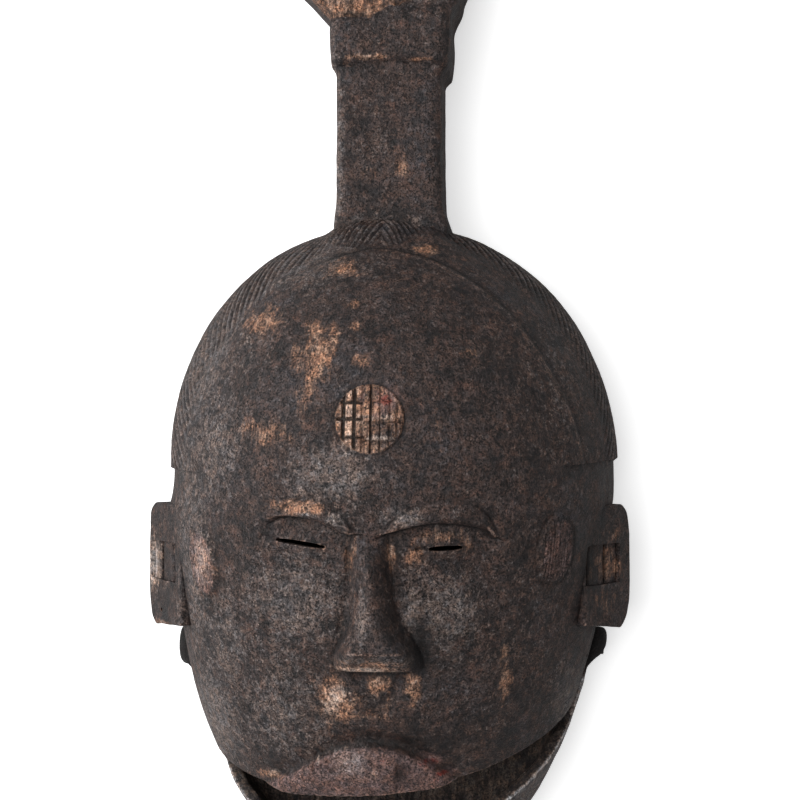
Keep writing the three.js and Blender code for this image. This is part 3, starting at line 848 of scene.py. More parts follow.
def makeEar(side):
    length = math.hypot(ear["rearX"] - ear["frontX"], ear["frontZ"] - ear["rearZ"])
    height = ear["topY"] - ear["bottomY"]
    seed = 10.0 * side
    spot = ear["left" if side < 0 else "right"]
    slab = slabBetween((0, 0, -ear["thickness"]), (length, height, 0), ear["edge"], 3, ear["step"] * 1.4,
                       ear["corner"], length / 2, seed)
    for v in slab.data.vertices:
        v.co.y += spot["frontLift"] * (1 - v.co.x / length) * max(0, 1 - v.co.y / 14)
        beyond = clamp((v.co.x - 28.5) / (length - 28.5))
        v.co.x -= beyond * along(ear["rearTrim"], v.co.y)
    recess = ear["recess"]
    floor = -recess["depth"]
    middle = height / 2 + recess["lift"]
    low, high = middle - recess["height"] / 2, middle + recess["height"] / 2
    pocket = slabBetween((spot["start"], low, floor), (spot["end"], high, 4), 0.8, 2, 2.4, seed=seed + 3)
    bars = []
    for start, end in spot["bars"]:
        top = (end, high + 1, -recess["barDrop"])
        bars.append(slabBetween((start, low - 1, floor - 3), top, 1.3, 3, 1.5, seed=seed + start, wear=0.35))
    for piece in (slab, pocket, *bars):
        placeOnHead(piece, side)
    return slab, pocket, bars


def placeOnHead(piece, side):
    bm = bmesh.new()
    bm.from_mesh(piece.data)
    bmesh.ops.transform(bm, matrix=earMatrix(side), verts=bm.verts)
    if side < 0:
        bmesh.ops.reverse_faces(bm, faces=bm.faces[:])
    bm.to_mesh(piece.data)
    bm.free()


for side in (-1, 1):
    slab, pocket, bars = makeEar(side)
    combine(mask, slab, "UNION")
    combine(mask, pocket, "DIFFERENCE")
    for bar in bars:
        combine(mask, bar, "UNION")


def lobeHole():
    hole = ear["hole"]
    bm = bmesh.new()
    bmesh.ops.create_cone(bm, cap_ends=True, segments=12, radius1=hole["radius"], radius2=hole["radius"],
                          depth=120)
    tilt = Matrix.Rotation(math.radians(hole["tiltDeg"]), 3, "Y")
    bmesh.ops.rotate(bm, cent=(0, 0, 0), matrix=tilt, verts=bm.verts)
    bmesh.ops.translate(bm, vec=(hole["x"], hole["y"], hole["z"]), verts=bm.verts)
    return objectFrom(bm, "lobe_hole")


combine(mask, lobeHole(), "DIFFERENCE")

print("hollow and cuts")


def makeHollow(wall):
    bm = headBlank(head["hollowSegments"], -wall, 400)
    cutFlat(bm, (0, 0, -4), (0, 0, -1))
    for v in bm.verts:
        if v.co.z > -3.9:
            marks = noise.voronoi(Vector((v.co.x / 9, v.co.y / 15, v.co.z / 9)))[0][0]
            outward = (v.co - Vector((0, head["centreY"], head["widestZ"]))).normalized()
            v.co += outward * (0.5 - 1.1 * marks)
    return objectFrom(bm, "hollow")


combine(mask, boxBetween((-far, -far, -far), (far, rebate["y"], rebate["z"])), "DIFFERENCE")
combine(mask, lipBlock(0), "DIFFERENCE")
combine(mask, makeHollow(head["wall"]), "DIFFERENCE")


def eyeSlit(side):
    name = "left" if side < 0 else "right"
    (ax, ay), (bx, by) = eye[name]["slit"]
    length = math.hypot(bx - ax, by - ay)
    bm = bmesh.new()
    bmesh.ops.create_cone(bm, cap_ends=True, segments=28, radius1=1, radius2=1, depth=90)
    for v in bm.verts:
        blunt = [math.copysign(abs(c) ** 0.55, c) for c in v.co.xy]
        v.co.x = blunt[0] * length / 2
        v.co.y = blunt[1] * eye[name]["height"] / 2 * (1 - 0.2 * blunt[0] ** 2)
        v.co.y += 0.2 * rough((v.co.x, 0, side), 2.6, 3.3)
    turn = Matrix.Rotation(math.atan2(by - ay, bx - ax), 3, "Z")
    bmesh.ops.rotate(bm, cent=(0, 0, 0), matrix=turn, verts=bm.verts)
    bmesh.ops.translate(bm, vec=((ax + bx) / 2, (ay + by) / 2, head["height"]), verts=bm.verts)
    return objectFrom(bm, "slit")


def makeTongue(side):
    low, high = sorted((side * tongue["innerX"], side * tongue["outerX"]))
    tab = roundBar(tongue["radius"], low, high, hinge["y"], hinge["z"], 32)
    root = boxBetween((low, hinge["y"], hinge["z"] - tongue["radius"]),
                      (high, rebate["y"] + 4, rebate["z"] + 6))
    combine(tab, root, "UNION")
    return tab


def pegHole(side):
    low, high = sorted((side * 70, side * 110))
    return roundBar(hinge["pegRadius"] + hinge["play"], low, high, hinge["y"], hinge["z"], 32)


for side in (-1, 1):
    combine(mask, eyeSlit(side), "DIFFERENCE")
    combine(mask, makeTongue(side), "UNION")
    combine(mask, pegHole(side), "DIFFERENCE")

print("jaw")

jaw = {
    "wall": 5.5, "startY": -114, "floorZ": 8, "throatY": -124, "throatHalf": 74, "throatReach": 24,
    "segments": 64, "voxel": 1.25, "softening": 2, "lugRound": 2.8, "leftOut": 2.2,
    "left": {"outer": 96.6, "foot": -11.6, "taper": [(0, 99)]},
    "right": {
        "outer": 97.4, "foot": -7.6,
        "taper": [(-112, 88), (-108.5, 91), (-106.2, 94), (-103.3, 96.2), (-100.4, 97.2), (-95, 97.6)],
    },
}


def swingOpen(piece):
    turn = Matrix.Translation((0, hinge["y"], hinge["z"]))
    turn = turn @ Matrix.Rotation(math.radians(hinge["openDeg"]), 4, "X")
    turn = turn @ Matrix.Translation((0, -hinge["y"], -hinge["z"]))
    for v in piece.data.vertices:
        v.co = turn @ v.co


def jawLug(side):
    radius = hinge["lugRadius"]
    shape = jaw["left" if side < 0 else "right"]
    outer, foot = shape["outer"], shape["foot"]
    low, high = sorted((side * hinge["innerX"], side * outer))
    lug = roundBar(radius, low, high, hinge["y"], hinge["z"], 40, jaw["lugRound"])
    bm = bmesh.new()
    outline = [(hinge["innerX"], 0), (outer - 1.2, 0), (outer - 3, foot * 0.6), (89, foot), (85, foot - 4),
               (82, -17), (78, -17), (79.6, -11.5), (hinge["innerX"] - 1.5, -10.2)]
    corners = [bm.verts.new((side * x, hinge["y"] + y, hinge["z"] - radius)) for x, y in outline]
    face = bm.faces.new(corners)
    raised = bmesh.ops.extrude_face_region(bm, geom=[face])["geom"]
    top = [v for v in raised if isinstance(v, bmesh.types.BMVert)]
    bmesh.ops.translate(bm, vec=(0, 0, 2 * radius), verts=top)
    combine(lug, objectFrom(bm, "link"), "UNION")
    for v in lug.data.vertices:
        v.co.x = side * min(abs(v.co.x), along(shape["taper"], v.co.y))
    return lug


def makeJaw():
    region = lipBlock(lipCut["gap"])
    combine(region, boxBetween((-far, -far, -far), (far, rebate["y"], rebate["z"] - lipCut["gap"])), "UNION")
    swingOpen(region)
    combine(region, boxBetween((-far, -far, 0), (far, jaw["startY"], far)), "INTERSECT")
    body = objectFrom(headBlank(jaw["segments"]), "jaw_carving")
    combine(body, region, "INTERSECT")
    scoop = objectFrom(headBlank(jaw["segments"], -jaw["wall"], head["widestZ"] - jaw["floorZ"]), "scoop")
    combine(body, scoop, "DIFFERENCE")
    throat = objectFrom(headBlank(jaw["segments"], -jaw["wall"], 400), "throat")
    bm = bmesh.new()
    bmesh.ops.create_cone(bm, cap_ends=True, segments=48, radius1=1, radius2=1, depth=2 * far)
    bmesh.ops.scale(bm, vec=(jaw["throatHalf"], jaw["throatReach"], 1), verts=bm.verts)
    bmesh.ops.translate(bm, vec=(0, jaw["throatY"], 0), verts=bm.verts)
    bite = objectFrom(bm, "bite")
    combine(bite, boxBetween((-far, jaw["throatY"], -far), (far, rebate["y"] + 5, far)), "UNION")
    combine(throat, bite, "INTERSECT")
    combine(body, throat, "DIFFERENCE")
    for side in (-1, 1):
        combine(body, jawLug(side), "UNION")
    remesh = body.modifiers.new("remesh", "REMESH")
    remesh.mode = "VOXEL"
    remesh.voxel_size = jaw["voxel"]
    settle(body)
    bm = bmesh.new()
    bm.from_mesh(body.data)
    for _ in range(jaw["softening"]):
        bmesh.ops.smooth_vert(bm, verts=bm.verts[:], factor=0.5, use_axis_x=True, use_axis_y=True,
                              use_axis_z=True)
    bm.normal_update()
    moves = []
    for v in bm.verts:
        nearHinge = smooth(12, 22, math.hypot(v.co.y - hinge["y"], v.co.z - hinge["z"]))
        lift = 0.4 * rough(v.co, 22, 3.7) + 0.2 * rough(v.co, 7, 6.1) + 0.08 * rough(v.co, 3, 0.9)
        place = v.co + v.normal * lift * nearHinge
        if place.x < 0:
            place.x -= jaw["leftOut"] * smooth(-118, -145, place.y) * smooth(20, 55, -place.x)
        moves.append(place)
    for v, place in zip(bm.verts, moves):
        v.co = place
        v.co.z = max(v.co.z, 0.0)
    bm.to_mesh(body.data)
    bm.free()
    for side in (-1, 1):
        combine(body, pegHole(side), "DIFFERENCE")
    return body


jawPiece = makeJaw()

print("pegs")


def makePeg(side, name):
    low, high = sorted((side * (tongue["innerX"] + 1), side * (hinge["outerX"] - 0.6)))
    peg = roundBar(hinge["pegRadius"], low, high, hinge["y"], hinge["z"], 28, 0.5)
    peg.name = name
    return peg


pegs = [makePeg(-1, "peg_left"), makePeg(1, "peg_right")]

# besides wear, paint and dust, painted shade and painted highlights are set here as values on the surface
print("wear and paint")

# Patches seen on the surface: place across and along the face, half width, half height, strength.
tanPatches = {
    "foreheadStreak": (-22, 26, 5.6, 13, 1.0), "streakRight": (-15.5, 31, 2.6, 7, 0.95),
    "streakFoot": (-26, 8, 6, 8, 0.6), "crown": (-14, 62, 8, 4.6, 0.85),
    "foreheadLeft": (-47, 40, 9.5, 6.5, 0.85), "spotHigh": (-8, 46, 2.8, 2.4, 0.95),
    "spotLow": (-7, 37, 2.4, 2.4, 1.0), "spotWide": (-4, 23, 5, 3, 0.7), "temple": (-42, -6, 11, 5.5, 0.85),
    "foreheadRight": (39, 26, 12, 3.6, 0.6), "besideDisc": (27, -4, 3, 12, 0.62),
    "hairCrown": (19, 70.5, 6, 2.6, 0.95), "browLeft": (-28, -34.4, 12, 2.8, 1.0),
    # noseFacetLit is painted light: the nose's downward facet is lightened as if lit
    "noseRim": (-0.5, -98.9, 13, 2.0, 1.0), "noseFacetLit": (1, -96, 15, 2.2, 0.8),
    "rootLeft": (-8.6, -52, 2.6, 7, 1.0), "rootRight": (8.2, -53, 2.2, 6, 1.0),
    "eyeRight": (17, -54, 4.2, 5, 0.78), "eyeRightOuter": (29, -46, 12, 3.4, 0.8),
    "eyeRightCorner": (37.5, -50, 3.4, 4.2, 0.75), "foreheadWide": (-28.5, 24, 5, 9, 0.78),
    "philtrumLow": (1.5, -117, 9, 4, 0.55), "noseSideLeft": (-7, -66, 2.2, 12, 0.5),
    "lipLeft": (-15.5, -114, 9.5, 9.5, 1.0), "lipMid": (2.2, -107.4, 5.6, 5.0, 1.0),
    "lipBelow": (-2, -121, 10, 1.6, 0.75), "lipRight": (16, -108, 3.4, 7, 1.0),
    "cheekRight": (52.5, -104, 2.6, 13, 0.95), "mouthLeft": (-44, -150.5, 8, 1.6, 0.9),
    "shaft": (7, 109, 5, 6, 0.66), "shaftLeft": (-8, 108, 5.6, 4, 0.6), "collar": (-7, 155, 9, 1.4, 1.0),
    "collarLeft": (-18, 152, 7, 1.0, 0.75), "collarRight": (15, 153.8, 8, 1.1, 0.7),
    "earLobe": (-97, -90, 6.2, 1.6, 0.95), "earTop": (98, -50, 3.6, 3, 0.7),
    "earFar": (95, -78, 6.2, 5, 0.7), "earBars": (94, -63, 8, 7, 0.8),
    "discLeft": (-73, -59.5, 8, 13, 0.75),
}
# grey patches: dust, and painted light where the left-facing sides, the shaft's left edge, the brows, the
# mouth, the ear bar and the nose facet are lightened
dustAndLightPatches = {
    "foreheadLow": (-15, -22, 17, 13, 0.9), "cheekLeft": (-32, -72, 22, 22, 0.8),
    "noseRight": (16, -74, 4.6, 16, 0.9), "cheekRight": (30, -78, 13, 18, 0.88),
    "noseRidge": (-3, -78, 2.6, 12, 0.9), "jowlLeft": (-40, -120, 20, 24, 0.75),
    "mouth": (-10, -141, 9, 7.5, 1.0), "farLeft": (-78, -60, 10, 60, 0.8),
    "hairLeft": (-78, 30, 20, 40, 0.85), "noseFacetLit": (2, -95, 16, 2.6, 0.9),
    "chinLeft": (-74, -130, 15, 26, 1.0), "finial": (-4, 190, 36, 16, 0.9),
    "shaftLeft": (-22, 115, 4, 45, 1.0), "browInner": (-13, -39, 5, 3.6, 0.9),
    "browLow": (-27, -37.6, 8, 1.4, 0.95), "browRight": (13, -38.5, 8, 3.8, 1.0),
    # earBarHighlight is a painted highlight on the left ear's outer bar
    "jowlRight": (80, -122, 9, 20, 0.9), "earBarHighlight": (-103.4, -64, 3.4, 9, 1.0),
    "shaftHigh": (-5, 135, 9, 8, 0.45), "shaftMid": (-2, 118, 6, 8, 0.55),
    "hairRight": (78, 28, 22, 44, 0.5), "templeLeft": (-66, -10, 15, 22, 0.8),
    "farCheek": (-64, -92, 12, 22, 0.75), "foreheadFar": (-56, 24, 16, 18, 0.55),
    "farRight": (62, -85, 16, 22, 0.4), "browRightMid": (30, -37, 10, 3, 0.45),
    "chinRight": (46, -122, 16, 14, 0.35), "hairTop": (-28, 64, 26, 12, 0.75),
    "philtrum": (1.5, -112, 9, 8, 0.5),
}
# pale patches: rubbed wood on the discs, lips and nose rim, and painted highlights on the brows, the mouth,
# the ear bar and the collar rim
paleAndHighlightPatches = {
    "discLeft": (-8.4, -1, 3.4, 12, 0.82), "discTop": (-4, 10.6, 3, 2.4, 0.6),
    "discBand": (3, 0.9, 8, 1.2, 0.75), "discLowBand": (4, -7.4, 6, 1.2, 0.75),
    "discMiddle": (-3.4, -2, 2, 8, 0.5), "streak": (-22.5, 29, 3.2, 8, 0.5),
    "lipLeft": (-15.5, -111, 5, 5, 0.8), "lipLeftLow": (-18, -117, 5, 3.4, 0.7),
    "lipMid": (1.6, -106, 2.6, 2.6, 0.6), "lipRight": (16.4, -105, 1.8, 3.6, 0.65),
    "noseRim": (-1, -99.0, 12, 1.5, 0.95), "mouth": (-9.5, -140.6, 7.6, 6.4, 0.66),
    "mouthLow": (-1, -146, 2, 4, 0.6), "earBarHighlight": (-103.4, -64, 4.2, 10, 1.0),
    "collar": (-6.3, 155.6, 5.4, 1.2, 0.65), "brow": (-27, -37.4, 6, 1.0, 0.6),
    "browMid": (-13.5, -38.6, 3.6, 2.2, 0.6), "cheekDisc": (-72.5, -59.5, 5, 12, 0.8),
    "browRight": (13, -38.5, 6, 1.6, 0.45), "rootRight": (8.2, -52, 1.4, 4, 0.6),
    "rootLeft": (-8.2, -50, 1.6, 3.4, 0.6), "chinLeft": (-44.6, -149.6, 2.2, 2, 0.85),
    "earLobe": (-98, -89.6, 5, 1.2, 0.6), "nickLeft": (-24.2, -140.6, 0.8, 2.4, 0.8),
}
redPatches = {
    "mouthRight": (20.5, -141.0, 5.5, 3.2, 1.0), "mouthFar": (28.0, -146.0, 4.0, 1.8, 1.0),
    "mouthLeft": (-40, -151.5, 4, 2.2, 0.75), "mouthMid": (3.4, -139.9, 4, 3, 0.8),
    "discRight": (6.5, 7.2, 4.8, 5.2, 0.85), "discTwist": (-3, 8.6, 1.2, 4, 0.75),
    "discMid": (3, 1.4, 2, 1.2, 0.8), "mouthLow": (0.8, -151.5, 1.2, 1.4, 0.9),
}
# dark patches: painted shade beside and under the nose, over the mouth and in its notch, in the right eye
# slit and in the ears' recess and gaps; also a crack by the nose root and the darkened philtrum strokes
darkPatches = {
    "noseShadow": (19, -91, 3.8, 8, 1.0), "noseFlank": (9.6, -72, 1.8, 14, 0.45),
    "underMouth": (14, -132.8, 17, 2.4, 0.85), "eyeCrack": (10.8, -53, 1.2, 5, 0.8),
    "rightEye": (31, -51.3, 10, 1.6, 0.5), "noseEnd": (-17.6, -96, 1.4, 3, 0.6),
    "mouthNotch": (9.8, -146, 2, 5, 0.85), "earInner": (87.2, -62.6, 3.2, 10, 1.0),
    "earGap": (94.6, -62.6, 0.9, 8, 0.85), "underNose": (2, -102.2, 17, 1.2, 0.8),
    "philtrumLeft": (-4.0, -110, 1.8, 5, 0.45), "philtrumFoot": (1.2, -117, 3.0, 1.8, 0.4),
    "philtrumRight": (8, -110, 1.8, 6, 0.3), "earLeftBar": (-96.9, -64.5, 2.6, 9, 0.45),
    "earLeftGap": (-100.8, -64.5, 0.9, 9, 0.7), "notchLow": (9.8, -151, 2, 3, 0.5),
}


def patchStrength(points, patches):
    total = np.zeros(len(points))
    for x, y, halfX, halfY, amount in patches.values():
        away = ((points[:, 0] - x) / halfX) ** 2 + ((points[:, 1] - y) / halfY) ** 2
        total = np.maximum(total, amount * np.exp(-0.5 * away))
    return total


def meshArrays(piece):
    mesh = piece.data
    points = np.empty(len(mesh.vertices) * 3, np.float32)
    mesh.vertices.foreach_get("co", points)
    normals = np.empty(len(mesh.vertices) * 3, np.float32)
    mesh.vertex_normals.foreach_get("vector", normals)
    edges = np.empty(len(mesh.edges) * 2, np.int32)
    mesh.edges.foreach_get("vertices", edges)
    return points.reshape(-1, 3).astype(float), normals.reshape(-1, 3).astype(float), edges.reshape(-1, 2)


def bulging(points, normals, edges, rounds):  # positive on ridges, negative in creases
    run = points[edges[:, 1]] - points[edges[:, 0]]
    square = (run ** 2).sum(axis=1)
    weight = np.zeros(len(points)) + 1e-6
    total = np.zeros(len(points))
    for end, sign in ((0, -1), (1, 1)):
        np.add.at(total, edges[:, end], sign * (normals[edges[:, end]] * run).sum(axis=1))
        np.add.at(weight, edges[:, end], square)
    bend = total / weight
    count = np.zeros(len(points)) + 1
    np.add.at(count, edges.ravel(), 1)
    for _ in range(rounds):
        spread = bend.copy()
        np.add.at(spread, edges[:, 0], bend[edges[:, 1]])
        np.add.at(spread, edges[:, 1], bend[edges[:, 0]])
        bend = spread / count
    return bend


def writeValues(piece, name, values):
    layer = piece.data.attributes.new(name, "FLOAT", "POINT")
    layer.data.foreach_set("value", np.clip(values, 0, 1).astype(np.float32))


def outsideOf(points):  # 1 on the head's outer side, 0 in the hollow
    scale = np.array([headScale(p) if p[2] > 0.2 and p[1] < 90 else 1.2 for p in points])
    return np.clip((scale - 0.945) / 0.02, 0, 1)


def cutShadeAt(p):  # painted shade from how deep a cut of the hair, the disc or the cheek discs is at a point; also a shadow line along the hair band's edge, the philtrum and the lip's arch, and dark pits where the top is torn
    x, y, z = unswayed(p)
    if z > 120 and math.hypot(x - disc["x"], y - disc["y"]) < disc["radius"] + 1.5:
        rim = smooth(disc["radius"] - 0.5, disc["radius"] + 0.2, math.hypot(x - disc["x"], y - disc["y"]))
        return clamp((disc["relief"] - discRelief(x, y)) / 0.9) * (1 - 0.4 * rim)
    if z > 60 and cheekAway((x, y, z)) < 0.95:
        return 0.5 * smooth(0.1, 0.9, -cheekLines((x, y, z)))
    spot = hairSpot(p)
    if spot and spot[1] < 1.04:
        s, t = spot
        line = along([(-50, 0.0), (-32, 0.5), (-18, 0.95), (34, 0.95), (60, 0.5), (140, 0.2)], s)
        line *= math.exp(-((t - 1.003) / 0.015) ** 2)
        strength = lerp(0.5, 1.0, smooth(-20, 30, s))
        return max(line, strength * grooveKept(s, t) * smooth(0.3, 0.85, hairGroove(s, t)) * (t < 1))
    if y > 160 and z > 30:
        return 0.9 * tornAt(p) * smooth(0.0, 0.28, -rough(p, 3.2, 5.7) - 0.3 * rough(p, 9, 2.2))
    if -119 < y < -100 and z > 90:
        return 0.35 * philtrumDepth(x, y) / philtrum["depth"]
    first, last = mouth["arch"][0][0], mouth["arch"][-1][0]
    if z > 60 and y < -119 and first < x < last:
        over = y - along(mouth["arch"], x)
        span = smooth(first, first + 22, x) * (1 - smooth(last - 8, last, x))
        return lerp(0.55, 0.9, smooth(-20, 10, x)) * span * math.exp(-((over - 1.4) / 1.7) ** 2)
    return 0.0


def hairRidgeDustAndLight(p):  # dust and painted highlight on the ridges of the hair, most on the left
    spot = hairSpot(p)
    if not spot or spot[1] > 1:
        return 0.0
    s, t = spot
    ridge = 1 - smooth(0.1, 0.5, hairGroove(s, t))
    return ridge * lerp(1.0 * grooveKept(s, t), 0.85, smooth(20, -30, s))


def rubbedEdge(p):  # the edges of the forehead and the lip, rubbed bare here and there
    x, y, z = p
    if y < -105 and z > 46:
        return 0.9 * (1 - smooth(0.7, 1.9, aboveLip(p)))
    spot = hairSpot(p)
    if not spot:
        return 0.0
    return (0.55 if x > 0 else 0.12) * math.exp(-((spot[1] - 1.04) / 0.025) ** 2)


def paintMask(piece):
    points, normals, edges = meshArrays(piece)
    outside = outsideOf(points)
    bend = bulging(points, normals, edges, 2)
    front = outside * np.clip(normals[:, 2] * 4 + 0.6, 0, 1)
    discAway = np.hypot(points[:, 0] - disc["x"], points[:, 1] - disc["y"])
    onDisc = np.where((discAway < disc["radius"]) & (points[:, 2] > 120), 1.0, 0.0)
    away = np.array([cheekAway(unswayed(p)) if p[2] > 60 else 9.0 for p in points])
    torn = np.array([tornAt(p) if p[1] > 160 else 0.0 for p in points])
    paint = np.where(points[:, 0] < 0, cheek["left"]["paint"], cheek["right"]["paint"])
    onCheek = np.clip((1.0 - away) / 0.2, 0, 1) * paint
    cutShade = np.array([cutShadeAt(p) for p in points]) * outside
    discTan = onDisc * np.interp(points[:, 0], [-4, 2, 6, 12], [1.0, 0.85, 0.75, 0.8])
    tan = front * np.maximum(patchStrength(points, tanPatches), discTan)
    writeValues(piece, "tan", np.maximum(tan, torn))
    ridgeDustAndLight = np.array([hairRidgeDustAndLight(p) for p in points]) * outside
    writeValues(piece, "dust_and_light", np.maximum(front * patchStrength(points, dustAndLightPatches), ridgeDustAndLight))
    low = (points[:, 1] < -125) & (points[:, 2] > 60)
    lip = np.array([onLip(p) if near else 0.0 for p, near in zip(points, low)])
    lipLine = np.array([overLip(p) if near else 0.0 for p, near in zip(points, low)])
    painted = np.maximum(np.maximum(0.3 * onDisc, onCheek), 0.62 * lip)
    writeValues(piece, "red", front * np.maximum(patchStrength(points, redPatches), painted))
    writeValues(piece, "pale", np.maximum(front * patchStrength(points, paleAndHighlightPatches), 0.38 * torn))
    # painted shade: concave places are darkened, less on the forehead disc and out at the ears
    creases = np.clip(-bend * 5 - 0.15, 0, 1) * (1 - 0.5 * onDisc)
    creases *= np.where(np.abs(points[:, 0]) > 90, 0.6, 1.0)
    dark = np.maximum(np.maximum(cutShade, 0.8 * lipLine), front * patchStrength(points, darkPatches))
    writeValues(piece, "dark", np.maximum(dark, creases))
    rubbed = np.array([rubbedEdge(p) for p in points]) * outside
    writeValues(piece, "edge", np.maximum(bend * 4 - 0.1, rubbed))
    writeValues(piece, "inside", 1 - outside)


def paintJaw(piece):
    points, normals, edges = meshArrays(piece)
    bend = bulging(points, normals, edges, 2)
    centre = np.array([0, head["centreY"], head["widestZ"]])
    outward = ((points - centre) * normals).sum(axis=1) / np.linalg.norm(points - centre, axis=1)
    nearLug = np.hypot(points[:, 1] - hinge["y"], points[:, 2] - hinge["z"])
    lug = np.clip((15 - nearLug) / 4, 0, 1) * np.clip((np.abs(points[:, 0]) - 84) / 3, 0, 1)
    writeValues(piece, "inside", np.clip(0.5 - outward * 3, 0, 1) * (1 - lug))
    # the jaw's outer sides and rims are lightened: dust and painted light on the shaded side; the lugs are
    # darkened: black patina and painted shade
    rim = np.clip(bend * 8 - 0.2, 0, 1)
    writeValues(piece, "edge", 0.4 * rim * (1 - lug))
    writeValues(piece, "dark", lug)
    writeValues(piece, "dust_and_light", np.maximum(np.clip(outward * 3 - 0.3, 0, 1), rim) * (1 - lug))
    writeValues(piece, "pale", np.clip(bend * 8 - 0.2, 0, 0.9) * (1 - lug) * (np.abs(points[:, 0]) > 30))
    writeValues(piece, "tan", np.zeros(len(points)))
    writeValues(piece, "red", np.zeros(len(points)))


print("materials")

tones = {
    "brown": (0.054, 0.036, 0.031), "black": (0.010, 0.0078, 0.0080), "redBrown": (0.070, 0.041, 0.033),
    "blueGrey": (0.046, 0.045, 0.051), "dust": (0.130, 0.111, 0.104), "dustPale": (0.34, 0.32, 0.31),
    "tan": (0.34, 0.195, 0.125), "cream": (0.50, 0.38, 0.31), "white": (0.46, 0.44, 0.43),
    "tanDeep": (0.12, 0.064, 0.042), "edge": (0.21, 0.145, 0.118), "pink": (0.21, 0.128, 0.115),
    "red": (0.20, 0.034, 0.024), "raw": (0.074, 0.055, 0.044), "pit": (0.004, 0.003, 0.003),
}


class Finish:  # one node material, built up value by value; lengths in millimetres
    def __init__(self, name):
        self.material = bpy.data.materials.new(name)
        self.material.use_nodes = True
        self.tree = self.material.node_tree
        self.shader = self.tree.nodes["Principled BSDF"]
        coordinates = self.tree.nodes.new("ShaderNodeTexCoord")
        self.place = self.stretch(coordinates.outputs["Object"], (1000, 1000, 1000))
        self.grain = self.stretch(coordinates.outputs["Object"], (1000, 170, 1000))

    def feed(self, socket, value):
        if isinstance(value, bpy.types.NodeSocket):
            self.tree.links.new(value, socket)
        elif isinstance(value, tuple) and len(value) == 3 and socket.type == "RGBA":
            socket.default_value = (*value, 1)
        else:
            socket.default_value = value

    def stretch(self, coordinates, scale):
        mapping = self.tree.nodes.new("ShaderNodeMapping")
        self.feed(mapping.inputs["Vector"], coordinates)
        self.feed(mapping.inputs["Scale"], scale)
        return mapping.outputs["Vector"]

    def noise(self, size, seed=0.0, detail=4.0, roughness=0.6, place=None):
        texture = self.tree.nodes.new("ShaderNodeTexNoise")
        texture.noise_dimensions = "4D"
        self.feed(texture.inputs["Vector"], place or self.place)
        self.feed(texture.inputs["W"], seed)
        self.feed(texture.inputs["Scale"], 1 / size)
        self.feed(texture.inputs["Detail"], detail)
        self.feed(texture.inputs["Roughness"], roughness)
        return texture.outputs["Fac"]

    def cells(self, size, feature, place=None):
        texture = self.tree.nodes.new("ShaderNodeTexVoronoi")
        texture.feature = feature
        self.feed(texture.inputs["Vector"], place or self.place)
        self.feed(texture.inputs["Scale"], 1 / size)
        return texture.outputs["Distance"]

    def flakes(self, size, place):  # a value of its own for each flake
        texture = self.tree.nodes.new("ShaderNodeTexVoronoi")
        self.feed(texture.inputs["Vector"], place)
        self.feed(texture.inputs["Scale"], 1 / size)
        return texture.outputs["Color"]

    def swirl(self, size, amount):  # the place, pushed about by noise
        texture = self.tree.nodes.new("ShaderNodeTexNoise")
        self.feed(texture.inputs["Vector"], self.place)
        self.feed(texture.inputs["Scale"], 1 / size)
        push = self.tree.nodes.new("ShaderNodeVectorMath")
        push.operation = "MULTIPLY_ADD"
        self.feed(push.inputs[0], texture.outputs["Color"])
        self.feed(push.inputs[1], (amount, amount, amount))
        self.feed(push.inputs[2], self.place)
        return push.outputs["Vector"]

    def value(self, name):
        reader = self.tree.nodes.new("ShaderNodeAttribute")
        reader.attribute_name = name
        return reader.outputs["Fac"]

    def sum(self, operation, a, b, c=None):
        node = self.tree.nodes.new("ShaderNodeMath")
        node.operation = operation
        for socket, number in zip(node.inputs, (a, b, c)):
            if number is not None:
                self.feed(socket, number)
        return node.outputs["Value"]

    def times(self, a, b):
        return self.sum("MULTIPLY", a, b)

    def plus(self, a, b):
        return self.sum("ADD", a, b)

    def about(self, value, amount):  # noise that goes both ways from zero
        return self.times(self.plus(value, -0.5), amount)

    def step(self, value, low, high, toLow=0.0, toHigh=1.0):
        node = self.tree.nodes.new("ShaderNodeMapRange")
        node.interpolation_type = "SMOOTHSTEP"
        numbers = {"Value": value, "From Min": low, "From Max": high, "To Min": toLow, "To Max": toHigh}
        for name, number in numbers.items():
            self.feed(node.inputs[name], number)
        return node.outputs["Result"]

    def mix(self, amount, a, b, kind="MIX"):
        node = self.tree.nodes.new("ShaderNodeMix")
        node.data_type = "RGBA"
        node.blend_type = kind
        self.feed(node.inputs[0], amount)
        self.feed(node.inputs[6], a)
        self.feed(node.inputs[7], b)
        return node.outputs[2]

    def shade(self, color, value, low, high, dark, light):
        return self.mix(1.0, color, self.mix(self.step(value, low, high), dark, light), "MULTIPLY")

    def bump(self, height, strength, distance):
        node = self.tree.nodes.new("ShaderNodeBump")
        self.feed(node.inputs["Height"], height)
        self.feed(node.inputs["Strength"], strength)
        self.feed(node.inputs["Distance"], distance)
        self.feed(self.shader.inputs["Normal"], node.outputs["Normal"])


